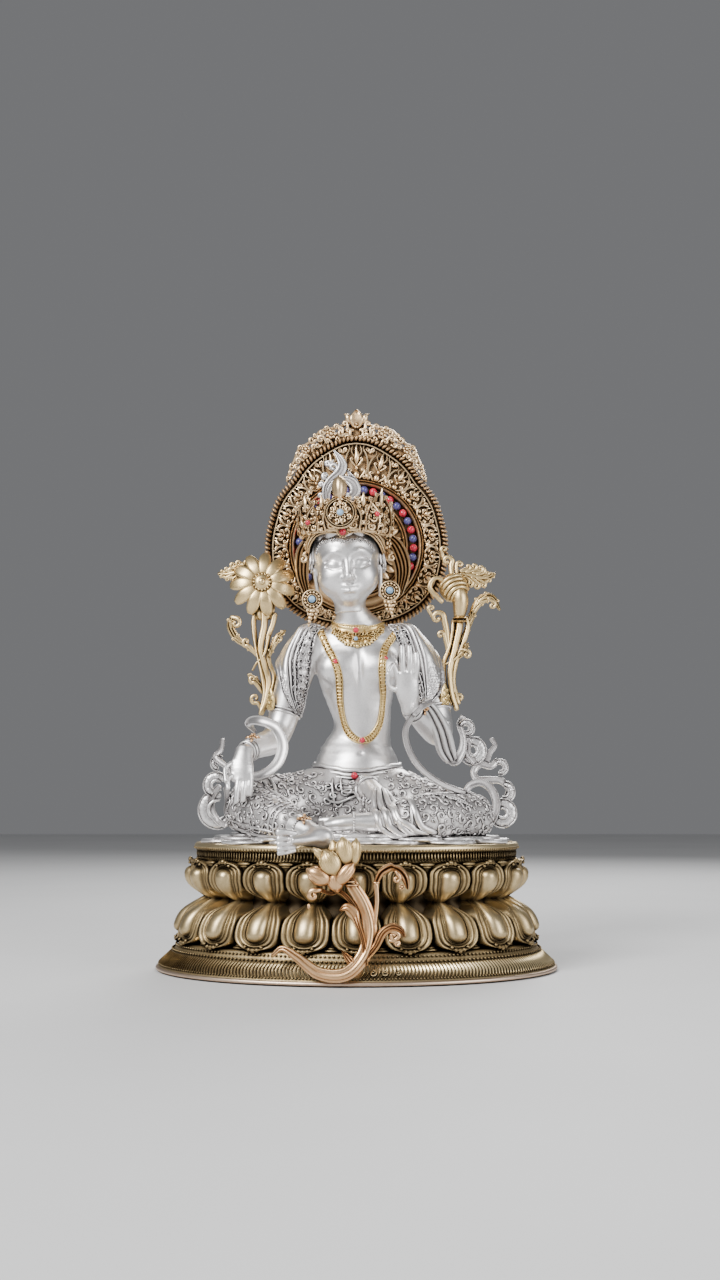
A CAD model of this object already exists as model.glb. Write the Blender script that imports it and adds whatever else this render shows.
"""Looks of a seated Tara of silvered and gilt metal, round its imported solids. Lengths are in millimetres."""

import math

import bpy
import numpy as np
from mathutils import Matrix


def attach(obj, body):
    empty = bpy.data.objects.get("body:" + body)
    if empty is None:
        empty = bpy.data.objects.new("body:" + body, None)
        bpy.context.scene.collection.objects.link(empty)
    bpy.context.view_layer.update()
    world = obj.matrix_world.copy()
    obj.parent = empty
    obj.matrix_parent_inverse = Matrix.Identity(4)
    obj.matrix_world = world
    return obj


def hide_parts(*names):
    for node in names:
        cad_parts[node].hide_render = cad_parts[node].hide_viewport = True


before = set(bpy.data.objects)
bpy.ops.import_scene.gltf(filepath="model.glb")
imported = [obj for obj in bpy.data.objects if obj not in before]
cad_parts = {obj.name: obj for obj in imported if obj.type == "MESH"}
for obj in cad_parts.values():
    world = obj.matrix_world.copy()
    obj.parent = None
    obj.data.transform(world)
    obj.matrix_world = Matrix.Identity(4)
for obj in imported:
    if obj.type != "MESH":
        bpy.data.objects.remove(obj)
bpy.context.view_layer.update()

MM = 0.001
FRONT = np.array([0.0, -1.0, 0.0])
BACK = np.array([0.0, 1.0, 0.0])
UP = np.array([0.0, 0.0, 1.0])
TURN = 2 * math.pi

# Driving sizes, as in the solids
OVAL = 0.72  # depth of the plinth as a share of its width
DECK_Z = 72.4
PETALS = 20
HALO_FRONT = 40.0
HALO_BACK = 44.0
HALO_CENTRE_Z = 248.7
RING_INNER = 30.4
RING_OUTER = 38.2
BEAD_RING_RADIUS = 34.3
BEAD_RADIUS = 2.4
BEADS = 28


def unit(rows):
    """Rows scaled to length one."""
    return rows / np.maximum(np.linalg.norm(rows, axis=-1, keepdims=True), 1e-9)


def smooth(points, count):
    """A Catmull-Rom curve through rows of numbers, as count rows."""
    p = np.asarray(points, float)
    spans = len(p) - 1
    t = np.linspace(0, spans, count)
    i = np.minimum(t.astype(int), spans - 1)
    f = (t - i)[:, None]
    ends = np.vstack([2 * p[0] - p[1], p, 2 * p[-1] - p[-2]])
    a, b, c, d = ends[i], ends[i + 1], ends[i + 2], ends[i + 3]
    return 0.5 * (2 * b + (c - a) * f + (2 * a - 5 * b + 4 * c - d) * f**2 + (3 * b - a - 3 * c + d) * f**3)


def full_rows(stations, flat=1.0):
    """Stations as rows of five numbers, where a half thickness left out follows from the half width."""
    return np.asarray([list(s) + [s[3] * flat] * (5 - len(s)) for s in stations], float)


def evenly(path, count, closed=False):
    """Rows of a fine path resampled at count places an equal distance apart."""
    p = np.asarray(path, float)
    if closed:
        p = np.vstack([p, p[:1]])
    run = np.r_[0, np.cumsum(np.linalg.norm(np.diff(p[:, :3], axis=0), axis=1))]
    at = np.linspace(0, run[-1], count, endpoint=not closed)
    return np.stack([np.interp(at, run, p[:, k]) for k in range(p.shape[1])], 1)


# Sections of a swept tube, as (across, towards the face) in half sizes
def round_section(sides=8):
    angle = np.arange(sides) / sides * TURN
    return np.stack([np.cos(angle), np.sin(angle)], 1)


def fluted_section(sides=24, flutes=5, depth=0.22):
    """A round section with rounded ribs, as a stem of several thin ones has."""
    angle = np.arange(sides) / sides * TURN
    reach = 1 - depth * (1 - np.abs(np.cos(angle * flutes / 2)))
    return np.stack([np.cos(angle) * reach, np.sin(angle) * reach], 1)


def band_section():
    """A flat ribbon with a raised rim along each edge, and a flat back."""
    return np.array([
        [1.0, 0.0], [0.96, 0.8], [0.8, 1.0], [0.68, 0.55], [0.0, 0.4],
        [-0.68, 0.55], [-0.8, 1.0], [-0.96, 0.8], [-1.0, 0.0], [-0.8, -0.8], [0.8, -0.8],
    ])


def ridge_section():
    return np.array([[1.0, -0.5], [0.55, 0.75], [0.0, 1.0], [-0.55, 0.75], [-1.0, -0.5]])


def ridged_section():
    """A rounded leaf-like section with a raised edge and a furrow along its face."""
    return np.array([[1, 0], [0.92, 0.7], [0.6, 1.0], [0.34, 0.62], [0.1, 0.9], [-0.3, 0.5], [-0.62, 0.95],
                     [-0.92, 0.66], [-1, 0], [-0.7, -0.75], [0, -1], [0.7, -0.75]])


# A petal's section, with a shallow trough along its face
PETAL = np.array([[1, 0], [0.86, 0.55], [0.5, 0.9], [0.0, 0.72], [-0.5, 0.9], [-0.86, 0.55], [-1, 0],
                  [-0.6, -0.7], [0.6, -0.7]])
ROUND = round_section()
RIDGED = ridged_section()
SLIM = round_section(6)
BAND = band_section()
RIDGE = ridge_section()


def skin(rings):
    """A closed shell of (steps, sides, 3) rings with a point in the middle of each end."""
    steps, sides = rings.shape[:2]
    points = np.vstack([rings.reshape(-1, 3), rings[0].mean(0), rings[-1].mean(0)])
    i, j = np.meshgrid(np.arange(steps - 1), np.arange(sides), indexing="ij")
    k = (j + 1) % sides
    quads = np.stack([i * sides + j, i * sides + k, (i + 1) * sides + k, (i + 1) * sides + j], -1)
    j = np.arange(sides)
    k = (j + 1) % sides
    first, last = steps * sides, steps * sides + 1
    base = (steps - 1) * sides
    caps = np.vstack([
        np.stack([np.full(sides, first), k, j], 1),
        np.stack([np.full(sides, last), base + j, base + k], 1),
    ])
    return points, quads.reshape(-1, 4), caps


def frames(centre, face):
    """Along, across and outward directions at each place of a path."""
    along = unit(np.gradient(centre, axis=0))
    wide = unit(np.cross(np.broadcast_to(face, along.shape), along))
    return along, wide, np.cross(along, wide)


def sweep(stations, steps=20, section=ROUND, face=FRONT, cap=0.7, ready=False):
    """A closed tube through stations [x, y, z, half width, half thickness], with rounded ends."""
    rows = full_rows(stations)
    rows = rows if ready else smooth(rows, steps)
    centre, half = rows[:, :3], np.maximum(rows[:, 3:5], 0.02)
    along, wide, deep = frames(centre, face)
    small = half.min(1)
    bend = np.array([1.2, 0.7])
    head = centre[0] - along[0] * small[0] * cap * np.sin(bend)[:, None]
    tail = centre[-1] + along[-1] * small[-1] * cap * np.sin(bend[::-1])[:, None]
    centre = np.vstack([head, centre, tail])
    half = np.vstack([half[0] * np.cos(bend)[:, None], half, half[-1] * np.cos(bend[::-1])[:, None]])
    wide = np.vstack([wide[:1], wide[:1], wide, wide[-1:], wide[-1:]])
    deep = np.vstack([deep[:1], deep[:1], deep, deep[-1:], deep[-1:]])
    rings = (
        centre[:, None]
        + wide[:, None] * (half[:, 0:1] * section[:, 0])[..., None]
        + deep[:, None] * (half[:, 1:2] * section[:, 1])[..., None]
    )
    return skin(rings)


def loop(centre_line, half_width, half_thickness, section=ROUND, face=FRONT):
    """A closed ring along a closed path."""
    centre = np.asarray(centre_line, float)
    along = unit(np.roll(centre, -1, 0) - np.roll(centre, 1, 0))
    wide = unit(np.cross(np.broadcast_to(face, along.shape), along))
    deep = np.cross(along, wide)
    steps, sides = len(centre), len(section)
    points = (
        centre[:, None]
        + wide[:, None] * (half_width * section[:, 0])[None, :, None]
        + deep[:, None] * (half_thickness * section[:, 1])[None, :, None]
    ).reshape(-1, 3)
    i, j = np.meshgrid(np.arange(steps), np.arange(sides), indexing="ij")
    k, n = (j + 1) % sides, (i + 1) % steps
    quads = np.stack([i * sides + j, i * sides + k, n * sides + k, n * sides + j], -1).reshape(-1, 4)
    return points, quads, np.zeros((0, 3), int)


def curl(middle, radius, start, turns, thick, lead=(), face=FRONT, steps=26, taper=0.45, flat=0.8,
         tighten=0.78):
    """A tube that winds inwards like a vine's end, in the plane across face, after its lead's stations."""
    share = np.linspace(0, 1, 7)
    angle = math.radians(start) + share * turns * TURN
    out = radius * (1 - tighten * share)
    side, rise = plane_of(face)
    centre = np.asarray(middle) + np.cos(angle)[:, None] * out[:, None] * side
    centre = centre + np.sin(angle)[:, None] * out[:, None] * rise
    width = thick * (1 - taper * share)
    rows = np.column_stack([centre, width, width * flat])
    if len(lead):
        rows = np.vstack([full_rows(lead, flat), rows])
    return join(sweep(rows, steps, SLIM, face), ball(centre[-1], [width[-1] * 1.5] * 3, 7, 5))


def plane_of(face):
    """Right and up directions in the plane across a face, as seen from in front of it."""
    side = unit(np.cross(UP, face))
    return side, np.cross(face, side)


def ball(middle, radii, across=12, down=8):
    """An ellipsoid."""
    polar = np.linspace(0, math.pi, down + 1)[1:-1]
    angle = np.arange(across) / across * TURN
    rings = np.stack([
        np.sin(polar)[:, None] * np.cos(angle),
        np.sin(polar)[:, None] * np.sin(angle),
        np.broadcast_to(-np.cos(polar)[:, None], (down - 1, across)),
    ], -1)
    points, quads, caps = skin(rings)
    points[-2:] = [[0, 0, -1], [0, 0, 1]]
    return points * np.asarray(radii, float) + np.asarray(middle, float), quads, caps


def bead(radius, across=8, down=6):
    """A small ball at the origin."""
    return ball((0, 0, 0), (radius, radius, radius), across, down)


def join(*shapes):
    """Several shapes as one."""
    points, quads, caps, count = [], [], [], 0
    for p, q, c in shapes:
        points.append(p)
        quads.append(q + count)
        caps.append(c + count)
        count += len(p)
    return np.vstack(points), np.vstack(quads), np.vstack(caps)


def copies(shape, places, axes=None, sizes=None):
    """The shape at each place, its own axes turned to axes (n, 3, 3) and scaled by sizes."""
    p, q, c = shape
    places = np.asarray(places, float)
    n, m = len(places), len(p)
    local = np.broadcast_to(p, (n, m, 3))
    if sizes is not None:
        local = local * np.asarray(sizes, float).reshape(n, 1, -1)
    if axes is not None:
        local = np.einsum("nmk,nkj->nmj", local, np.asarray(axes, float))
    shift = (np.arange(n) * m)[:, None, None]
    points = (local + places[:, None]).reshape(-1, 3)
    return points, (q[None] + shift).reshape(-1, 4), (c[None] + shift).reshape(-1, 3)


def place(shape, at, side, deep, rise, size=1.0):
    """The shape with its own X, Y and Z turned to side, deep and rise."""
    axes = np.stack([side, deep, rise]).astype(float)
    return shape[0] * size @ axes + np.asarray(at, float), shape[1], shape[2]


def mirrored(shape):
    """The shape reflected in its own X."""
    p, q, c = shape
    return p * [-1, 1, 1], q[:, ::-1], c[:, ::-1]


def handed(shape, way):
    """The shape as it is, or its reflection where way is -1."""
    return shape if way > 0 else mirrored(shape)


def piece(name, shape, material, replaced=(), sharp=None):
    """A Blender object made of the shape, riding on the body and standing for the nodes it replaces."""
    p, q, c = shape
    mesh = bpy.data.meshes.new(name)
    mesh.vertices.add(len(p))
    mesh.vertices.foreach_set("co", (p * MM).astype(np.float32).ravel())
    mesh.loops.add(q.size + c.size)
    mesh.loops.foreach_set("vertex_index", np.r_[q.ravel(), c.ravel()].astype(np.int32))
    mesh.polygons.add(len(q) + len(c))
    starts = np.r_[np.arange(len(q)) * 4, q.size + np.arange(len(c)) * 3]
    mesh.polygons.foreach_set("loop_start", starts.astype(np.int32))
    mesh.update(calc_edges=True)
    mesh.validate()
    mesh.shade_smooth()
    if sharp:
        mesh.set_sharp_from_angle(angle=math.radians(sharp))
    mesh.materials.append(material)
    made = bpy.data.objects.new(name, mesh)
    bpy.context.scene.collection.objects.link(made)
    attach(made, "root")
    if replaced:
        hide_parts(*replaced)
    return made


# Clay: a smooth union of distance functions, meshed by surface nets
def tube(stations, count=14, face=FRONT, tip=0.8, ready=False):
    """Distance to a tube of elliptical section through stations as for sweep, and its box."""
    rows = full_rows(stations)
    rows = rows if ready else smooth(rows, count)
    centre, half = rows[:, :3], rows[:, 3:5]
    reach = half.max()

    def distance(p):
        best = np.full(len(p), 1e3)
        for a, b, r0, r1 in zip(centre[:-1], centre[1:], half[:-1], half[1:]):
            step = b - a
            length = np.linalg.norm(step)
            along = step / length
            wide = unit(np.cross(face, along))
            deep = np.cross(along, wide)
            t = np.clip((p - a) @ along / length, 0, 1)
            q = p - a - t[:, None] * step
            w = r0[0] + t * (r1[0] - r0[0])
            h = r0[1] + t * (r1[1] - r0[1])
            e = np.minimum(w, h) * tip
            x, y, z = q @ wide / w, q @ deep / h, q @ along / e
            k0 = np.sqrt(x * x + y * y + z * z)
            k1 = np.sqrt((x / w) ** 2 + (y / h) ** 2 + (z / e) ** 2)
            best = np.minimum(best, k0 * (k0 - 1) / np.maximum(k1, 1e-5))
        return best

    return distance, centre.min(0) - reach, centre.max(0) + reach


def blob(middle, radii, turn=None):
    """Distance to an ellipsoid, turned by the rows of its own axes, and its box."""
    middle, radii = np.asarray(middle, float), np.asarray(radii, float)
    axes = np.eye(3) if turn is None else np.asarray(turn, float)

    def distance(p):
        q = (p - middle) @ axes.T
        k0 = np.linalg.norm(q / radii, axis=1)
        k1 = np.linalg.norm(q / radii**2, axis=1)
        return k0 * (k0 - 1) / np.maximum(k1, 1e-5)

    return distance, middle - radii.max(), middle + radii.max()


class Clay:
    """Shapes added or cut one after another, each with its own blend width."""

    def __init__(self):
        self.shapes = []

    def add(self, shape, blend=1.0):
        self.shapes.append((*shape, blend, 1))
        return self

    def cut(self, shape, blend=1.0):
        self.shapes.append((*shape, blend, -1))
        return self

    @staticmethod
    def merge(old, new, blend, way):
        h = np.clip(0.5 + 0.5 * (old * way - new) / blend, 0, 1)
        return way * (old * way * (1 - h) + new * h - blend * h * (1 - h))

    def value(self, p):
        total = np.full(len(p), 1e3)
        for distance, low, high, blend, way in self.shapes:
            near = np.all((p > low - 8 - blend) & (p < high + 8 + blend), axis=1)
            total[near] = self.merge(total[near], distance(p[near]), blend, way)
        return total

    def slope(self, p, reach=0.25):
        parts = [self.value(p + reach * e) - self.value(p - reach * e) for e in np.eye(3)]
        return unit(np.stack(parts, 1))

    def settle(self, p, lift=0.0, rounds=4):
        """Points moved onto the surface, or lift above it, and the outward directions there."""
        p = np.array(p, float)
        for _ in range(rounds):
            p -= self.slope(p) * np.clip(self.value(p) - lift, -4, 4)[:, None]
        return p, self.slope(p)

    def mesh(self, low, high, cell):
        """Points and quads of the surface inside a box."""
        low, high = np.asarray(low, float), np.asarray(high, float)
        counts = np.ceil((high - low) / cell).astype(int) + 1
        grid = np.full(counts, 1e3)
        lines = [low[k] + np.arange(counts[k]) * cell for k in range(3)]
        for distance, a, b, blend, way in self.shapes:
            pad = blend + 3 * cell
            first = np.clip(np.floor((a - pad - low) / cell).astype(int), 0, counts)
            last = np.clip(np.ceil((b + pad - low) / cell).astype(int) + 1, 0, counts)
            if np.any(last <= first):
                continue
            cut = tuple(slice(i, j) for i, j in zip(first, last))
            box = np.stack(np.meshgrid(*[lines[k][cut[k]] for k in range(3)], indexing="ij"), -1)
            new = distance(box.reshape(-1, 3)).reshape(box.shape[:3])
            grid[cut] = self.merge(grid[cut], new, blend, way)
        return surface_nets(grid, low, cell)


CORNERS = np.array([[i, j, k] for i in (0, 1) for j in (0, 1) for k in (0, 1)])
EDGES = [(a, b) for a in range(8) for b in range(a + 1, 8) if np.abs(CORNERS[a] - CORNERS[b]).sum() == 1]


def surface_nets(grid, low, cell):
    """Points and quads where a grid of distances is zero."""
    grid = grid.copy()
    for axis in range(3):
        for end in (0, -1):
            face = np.moveaxis(grid, axis, 0)[end]
            face[face <= 0] = cell * 0.5
    inside = grid < 0
    shape = np.array(grid.shape) - 1
    count = np.zeros(shape, np.int8)
    for i, j, k in CORNERS:
        count += inside[i:i + shape[0], j:j + shape[1], k:k + shape[2]]
    mixed = (count > 0) & (count < 8)
    cells = np.argwhere(mixed)
    number = np.full(mixed.shape, -1, np.int64)
    number[mixed] = np.arange(len(cells))
    values = np.stack([grid[tuple((cells + c).T)] for c in CORNERS], 1)
    total, hits = np.zeros((len(cells), 3)), np.zeros(len(cells))
    for a, b in EDGES:
        va, vb = values[:, a], values[:, b]
        crossing = (va < 0) != (vb < 0)
        t = np.where(crossing, va / np.where(crossing, va - vb, 1), 0)
        at = CORNERS[a] + t[:, None] * (CORNERS[b] - CORNERS[a])
        total += at * crossing[:, None]
        hits += crossing
    points = low + (cells + total / hits[:, None]) * cell
    quads = []
    for axis in range(3):
        u, v = (axis + 1) % 3, (axis + 2) % 3
        before = np.take(inside, range(grid.shape[axis] - 1), axis)
        after = np.take(inside, range(1, grid.shape[axis]), axis)
        edge = np.argwhere(before != after)
        edge = edge[(edge[:, u] > 0) & (edge[:, v] > 0) & (edge[:, u] < shape[u]) & (edge[:, v] < shape[v])]
        step_u, step_v = np.eye(3, dtype=int)[u], np.eye(3, dtype=int)[v]
        around = [edge - step_u - step_v, edge - step_v, edge, edge - step_u]
        quad = np.stack([number[tuple(c.T)] for c in around], 1)
        flip = ~before[tuple(edge.T)]
        quad[flip] = quad[flip][:, ::-1]
        quads.append(quad)
    return points, np.vstack(quads)


def cast(clay, low, high, cell):
    """The clay's mesh inside a box."""
    points, quads = clay.mesh(low, high, cell)
    return points, quads, np.zeros((0, 3), int)


def strips(clay, paths, half_width, height, section=RIDGE, lift=0.0, taper=0.0):
    """Strips or ridges that follow the clay's surface under paths (n, steps, 3), as one shape."""
    paths = np.asarray(paths, float)
    n, steps = paths.shape[:2]
    centre, normal = clay.settle(paths.reshape(-1, 3), lift)
    centre, normal = centre.reshape(n, steps, 3), normal.reshape(n, steps, 3)
    along = unit(np.gradient(centre, axis=1))
    wide = unit(np.cross(normal, along))
    size = 1 - taper * np.abs(np.linspace(-1, 1, steps)) ** 3
    across = np.broadcast_to(half_width, (n, steps)) * size
    rise = np.broadcast_to(height, (n, steps)) * size
    rings = (
        centre[:, :, None]
        + wide[:, :, None] * (across[..., None] * section[:, 0])[..., None]
        + normal[:, :, None] * (rise[..., None] * section[:, 1])[..., None]
    )
    return join(*[skin(one) for one in rings])


def laid(clay, path, half_width, height, steps, section=RIDGE, taper=0.0):
    """One strip that follows the clay's surface under a smooth path."""
    return strips(clay, smooth(path, steps)[None], half_width, height, section, taper=taper)


# Materials
def graph(name):
    """A new material with its node tree and principled shader."""
    material = bpy.data.materials.new(name)
    material.use_nodes = True
    return material, material.node_tree, material.node_tree.nodes["Principled BSDF"]


def add_node(tree, kind, settings=(), **inputs):
    """A node with its settings, and inputs that are values or another node's sockets."""
    made = tree.nodes.new(kind)
    for key, value in dict(settings).items():
        setattr(made, key, value)
    for key, value in inputs.items():
        socket = made.inputs[int(key[1:])] if key[0] == "i" and key[1:].isdigit() else made.inputs[key]
        if isinstance(value, bpy.types.NodeSocket):
            tree.links.new(value, socket)
        else:
            socket.default_value = value
    return made


def noise(tree, size, detail=4.0):
    """Noise whose lumps are about size millimetres across."""
    coords = add_node(tree, "ShaderNodeTexCoord")
    made = add_node(tree, "ShaderNodeTexNoise", Vector=coords.outputs["Object"], Scale=1 / (size * MM),
                    Detail=detail, Roughness=0.6)
    return made.outputs["Fac"]


def ramp(tree, value, stops):
    """A colour ramp through (position, colour) stops."""
    made = add_node(tree, "ShaderNodeValToRGB", Fac=value)
    marks = made.color_ramp.elements
    while len(marks) < len(stops):
        marks.new(0.5)
    for mark, (at, colour) in zip(marks, stops):
        mark.position = at
        mark.color = (*colour, 1) if len(colour) == 3 else colour
    return made.outputs["Color"]


def grey(value):
    return (value, value, value)


def mix(tree, share, first, second, kind="MIX"):
    made = add_node(tree, "ShaderNodeMix", {"data_type": "RGBA", "blend_type": kind}, i0=share, i6=first,
                    i7=second)
    return made.outputs[2]


def metal(name, bright, middle, dark, gloss=0.28, hollow=2.2, grime=(0.3, 0.6, 0.86), blotch=0.25,
          grain=0.12):
    """Aged metal: dark patina where the surface is hollow, bright and smooth where it stands out."""
    material, tree, shader = graph(name)
    hidden = add_node(tree, "ShaderNodeAmbientOcclusion", {"samples": 8}, Distance=hollow * MM).outputs["AO"]
    edge = add_node(tree, "ShaderNodeNewGeometry").outputs["Pointiness"]
    stain = noise(tree, 7.0)
    speck = noise(tree, 0.7, 3.0)
    drift = add_node(tree, "ShaderNodeMath", {"operation": "MULTIPLY_ADD"}, i0=stain, i1=blotch,
                     i2=-blotch / 2)
    lift = add_node(tree, "ShaderNodeMapRange", i0=edge, i1=0.44, i2=0.56, i3=-0.18, i4=0.14)
    open_air = add_node(tree, "ShaderNodeMath", {"operation": "ADD"}, i0=hidden, i1=drift.outputs[0])
    worn = add_node(tree, "ShaderNodeMath", {"operation": "ADD"}, i0=open_air.outputs[0], i1=lift.outputs[0])
    colour = ramp(tree, worn.outputs[0], [(grime[0], dark), (grime[1], middle), (grime[2], bright)])
    freckle = ramp(tree, speck, [(0.3, grey(0.86)), (0.62, grey(1.0))])
    colour = mix(tree, 1.0, colour, freckle, "MULTIPLY")
    tree.links.new(colour, shader.inputs["Base Color"])
    dull = add_node(tree, "ShaderNodeMapRange", i0=worn.outputs[0], i1=grime[0], i2=grime[2],
                    i3=min(gloss + 0.42, 0.9), i4=gloss)
    rough = add_node(tree, "ShaderNodeMath", {"operation": "MULTIPLY_ADD"}, i0=speck, i1=0.12,
                     i2=dull.outputs[0])
    tree.links.new(rough.outputs[0], shader.inputs["Roughness"])
    shader.inputs["Metallic"].default_value = 1.0
    bump = add_node(tree, "ShaderNodeBump", Height=noise(tree, 0.5), Strength=grain, Distance=0.1 * MM)
    tree.links.new(bump.outputs[0], shader.inputs["Normal"])
    return material


def stone(name, deep, pale, roughness=0.16):
    """A polished stone with cloudy variation."""
    material, tree, shader = graph(name)
    cloud = noise(tree, 2.6, 5.0)
    tree.links.new(ramp(tree, cloud, [(0.35, deep), (0.68, pale)]), shader.inputs["Base Color"])
    gloss = add_node(tree, "ShaderNodeMapRange", i0=cloud, i3=roughness, i4=roughness + 0.14)
    tree.links.new(gloss.outputs[0], shader.inputs["Roughness"])
    bump = add_node(tree, "ShaderNodeBump", Height=cloud, Strength=0.12, Distance=0.15 * MM)
    tree.links.new(bump.outputs[0], shader.inputs["Normal"])
    shader.inputs["Coat Weight"].default_value = 0.35
    return material


SILVER = metal("silver", (0.88, 0.86, 0.85), (0.52, 0.49, 0.485), (0.03, 0.027, 0.03), gloss=0.3, hollow=2.2,
               grime=(0.46, 0.8, 0.98), blotch=0.14)
SILVER_CLOTH = metal("silver_cloth", (0.82, 0.79, 0.775), (0.40, 0.375, 0.37), (0.022, 0.019, 0.02),
                     gloss=0.34, hollow=2.0, grime=(0.5, 0.83, 0.99), blotch=0.2)
SILVER_SKIN = metal("silver_skin", (0.93, 0.91, 0.90), (0.68, 0.65, 0.64), (0.10, 0.09, 0.09), gloss=0.33,
                    hollow=2.2, grime=(0.26, 0.56, 0.84), blotch=0.1, grain=0.05)
BRASS = metal("plinth_brass", (0.80, 0.64, 0.37), (0.37, 0.265, 0.13), (0.014, 0.009, 0.005), gloss=0.27,
              hollow=3.4, grime=(0.48, 0.8, 0.985))
DARK_BRASS = metal("plinth_waist", (0.10, 0.075, 0.045), (0.03, 0.02, 0.012), (0.004, 0.003, 0.002),
                   gloss=0.5, hollow=6.0)
RIM_BRASS = metal("plinth_rim", (0.72, 0.55, 0.42), (0.45, 0.32, 0.22), (0.06, 0.04, 0.03), gloss=0.32,
                  hollow=3.0)
GILT = metal("gilt", (0.92, 0.68, 0.40), (0.48, 0.29, 0.14), (0.018, 0.008, 0.004), gloss=0.3, hollow=3.2,
             grime=(0.46, 0.78, 0.985))
GILT_PALE = metal("gilt_pale", (0.84, 0.63, 0.32), (0.42, 0.27, 0.11), (0.022, 0.012, 0.005), gloss=0.31,
                  hollow=4.4, grime=(0.48, 0.82, 0.99), blotch=0.34)
YELLOW_GILT = metal("necklace_gilt", (0.90, 0.68, 0.31), (0.46, 0.28, 0.09), (0.07, 0.03, 0.01), gloss=0.3,
                    hollow=1.1, grime=(0.42, 0.74, 0.97))
COPPER = metal("copper_gilt", (0.84, 0.53, 0.28), (0.45, 0.22, 0.09), (0.028, 0.011, 0.005), gloss=0.25,
               hollow=3.4, grime=(0.46, 0.8, 0.985), blotch=0.35)
CORAL = stone("coral", (0.42, 0.01, 0.03), (0.72, 0.03, 0.07))
TURQUOISE = stone("turquoise", (0.16, 0.34, 0.58), (0.42, 0.62, 0.8), 0.22)
LAPIS = stone("lapis", (0.03, 0.03, 0.14), (0.12, 0.12, 0.34), 0.2)


# Floor, light and camera
VIEW_DISTANCE = 768.0
VIEW_HEIGHT = 96.3
PICTURE = (720, 1280)  # pixels
MM_A_PIXEL = 0.5734  # at the object's middle
MIDDLE_COLUMN = 356.5  # pixel column of the object's middle
HORIZON_ROW = 800


def camera():
    data = bpy.data.cameras.new("camera")
    made = bpy.data.objects.new("camera", data)
    bpy.context.scene.collection.objects.link(made)
    made.location = (0, -VIEW_DISTANCE * MM, VIEW_HEIGHT * MM)
    made.rotation_euler = (math.pi / 2, 0, 0)
    data.sensor_width = 36
    data.lens = data.sensor_width * VIEW_DISTANCE / (PICTURE[1] * MM_A_PIXEL)
    data.shift_x = (PICTURE[0] / 2 - MIDDLE_COLUMN) / PICTURE[1]
    data.shift_y = (HORIZON_ROW - PICTURE[1] / 2) / PICTURE[1]
    data.clip_start, data.clip_end = 0.01, 20
    bpy.context.scene.camera = made


def lamp(name, at, size, watts):
    """A square soft light that looks at the figure's chest."""
    data = bpy.data.lights.new(name, "AREA")
    data.energy, data.size = watts, size
    made = bpy.data.objects.new(name, data)
    bpy.context.scene.collection.objects.link(made)
    made.location = at
    aim = np.array([0, 0, 0.16]) - np.array(at)
    made.rotation_euler = (math.acos(-aim[2] / np.linalg.norm(aim)),
                           0, math.atan2(aim[1], aim[0]) - math.pi / 2)


def studio():
    world = bpy.data.worlds.new("studio")
    world.use_nodes = True
    world.node_tree.nodes["Background"].inputs["Color"].default_value = (0.80, 0.81, 0.84, 1)
    world.node_tree.nodes["Background"].inputs["Strength"].default_value = 0.22
    bpy.context.scene.world = world
    lamp("key", (-0.75, -0.95, 0.95), 0.6, 33)
    lamp("fill", (0.95, -0.8, 0.45), 0.8, 11)
    lamp("rim", (0.3, 0.9, 0.9), 0.6, 13)
    mesh = bpy.data.meshes.new("floor")
    reach = 3.0
    mesh.from_pydata([(-reach, -reach, 0), (reach, -reach, 0), (reach, reach, 0), (-reach, reach, 0)], [],
                     [(0, 1, 2, 3)])
    material, tree, shader = graph("floor")
    cloud = noise(tree, 400.0)
    tree.links.new(ramp(tree, cloud, [(0.3, grey(0.60)), (0.7, grey(0.66))]), shader.inputs["Base Color"])
    shader.inputs["Roughness"].default_value = 0.7
    mesh.materials.append(material)
    floor = bpy.data.objects.new("floor", mesh)
    bpy.context.scene.collection.objects.link(floor)


camera()
studio()


# The plinth: an oval core with bead rows, two rows of petals about a dark waist, and a feathered band
OVAL_ANGLES = np.linspace(-math.pi / 2, 1.5 * math.pi, 2401)
OVAL_RUN = np.r_[0, np.cumsum(np.hypot(np.diff(np.cos(OVAL_ANGLES)), OVAL * np.diff(np.sin(OVAL_ANGLES))))]


def oval(share, half_width, z, out=0.0):
    """Points round the plinth, share of the way from the middle of its front, moved straight out."""
    angle = np.interp(np.mod(share, 1), OVAL_RUN / OVAL_RUN[-1], OVAL_ANGLES)
    c, s = np.cos(angle), np.sin(angle)
    size = np.hypot(OVAL * c, s)
    x = half_width * c + out * OVAL * c / size
    y = OVAL * half_width * s + out * s / size
    return np.stack(np.broadcast_arrays(x, y, z), -1)


def oval_frames(share):
    """Rows of (along the rim, outward, up) at places round the plinth."""
    ahead = oval(share + 1e-3, 100.0, 0.0) - oval(share - 1e-3, 100.0, 0.0)
    side = unit(ahead)
    outward = np.stack([side[:, 1], -side[:, 0], side[:, 2]], 1)
    return np.stack([side, outward, np.broadcast_to(UP, side.shape)], 1)


CORE = [
    (60, 0), (112.6, 0), (114, 0.9), (114.2, 1.8), (113.8, 2.7), (112.8, 3.4), (112.4, 3.8), (106.2, 10.4),
    (105.8, 11), (104.8, 11.3), (103.2, 13.4), (102.6, 14), (101.4, 15.6), (100.6, 16.4), (93, 17), (88, 26),
    (82, 36), (77, 41.6), (82, 47), (86, 54), (88, 61.6), (90.4, 62.6), (91, 63.6), (90.3, 64.2),
    (90.2, 68.2), (91.4, 68.6), (92.4, 69.4), (92.6, 70.4), (92.2, 71.6), (91.2, DECK_Z), (89, DECK_Z),
    (88.6, DECK_Z - 0.4), (88, DECK_Z), (60, DECK_Z),
]
CORE_WALL = CORE[13:22]  # behind the petals
CORE_WAIST = CORE[15:20]
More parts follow.
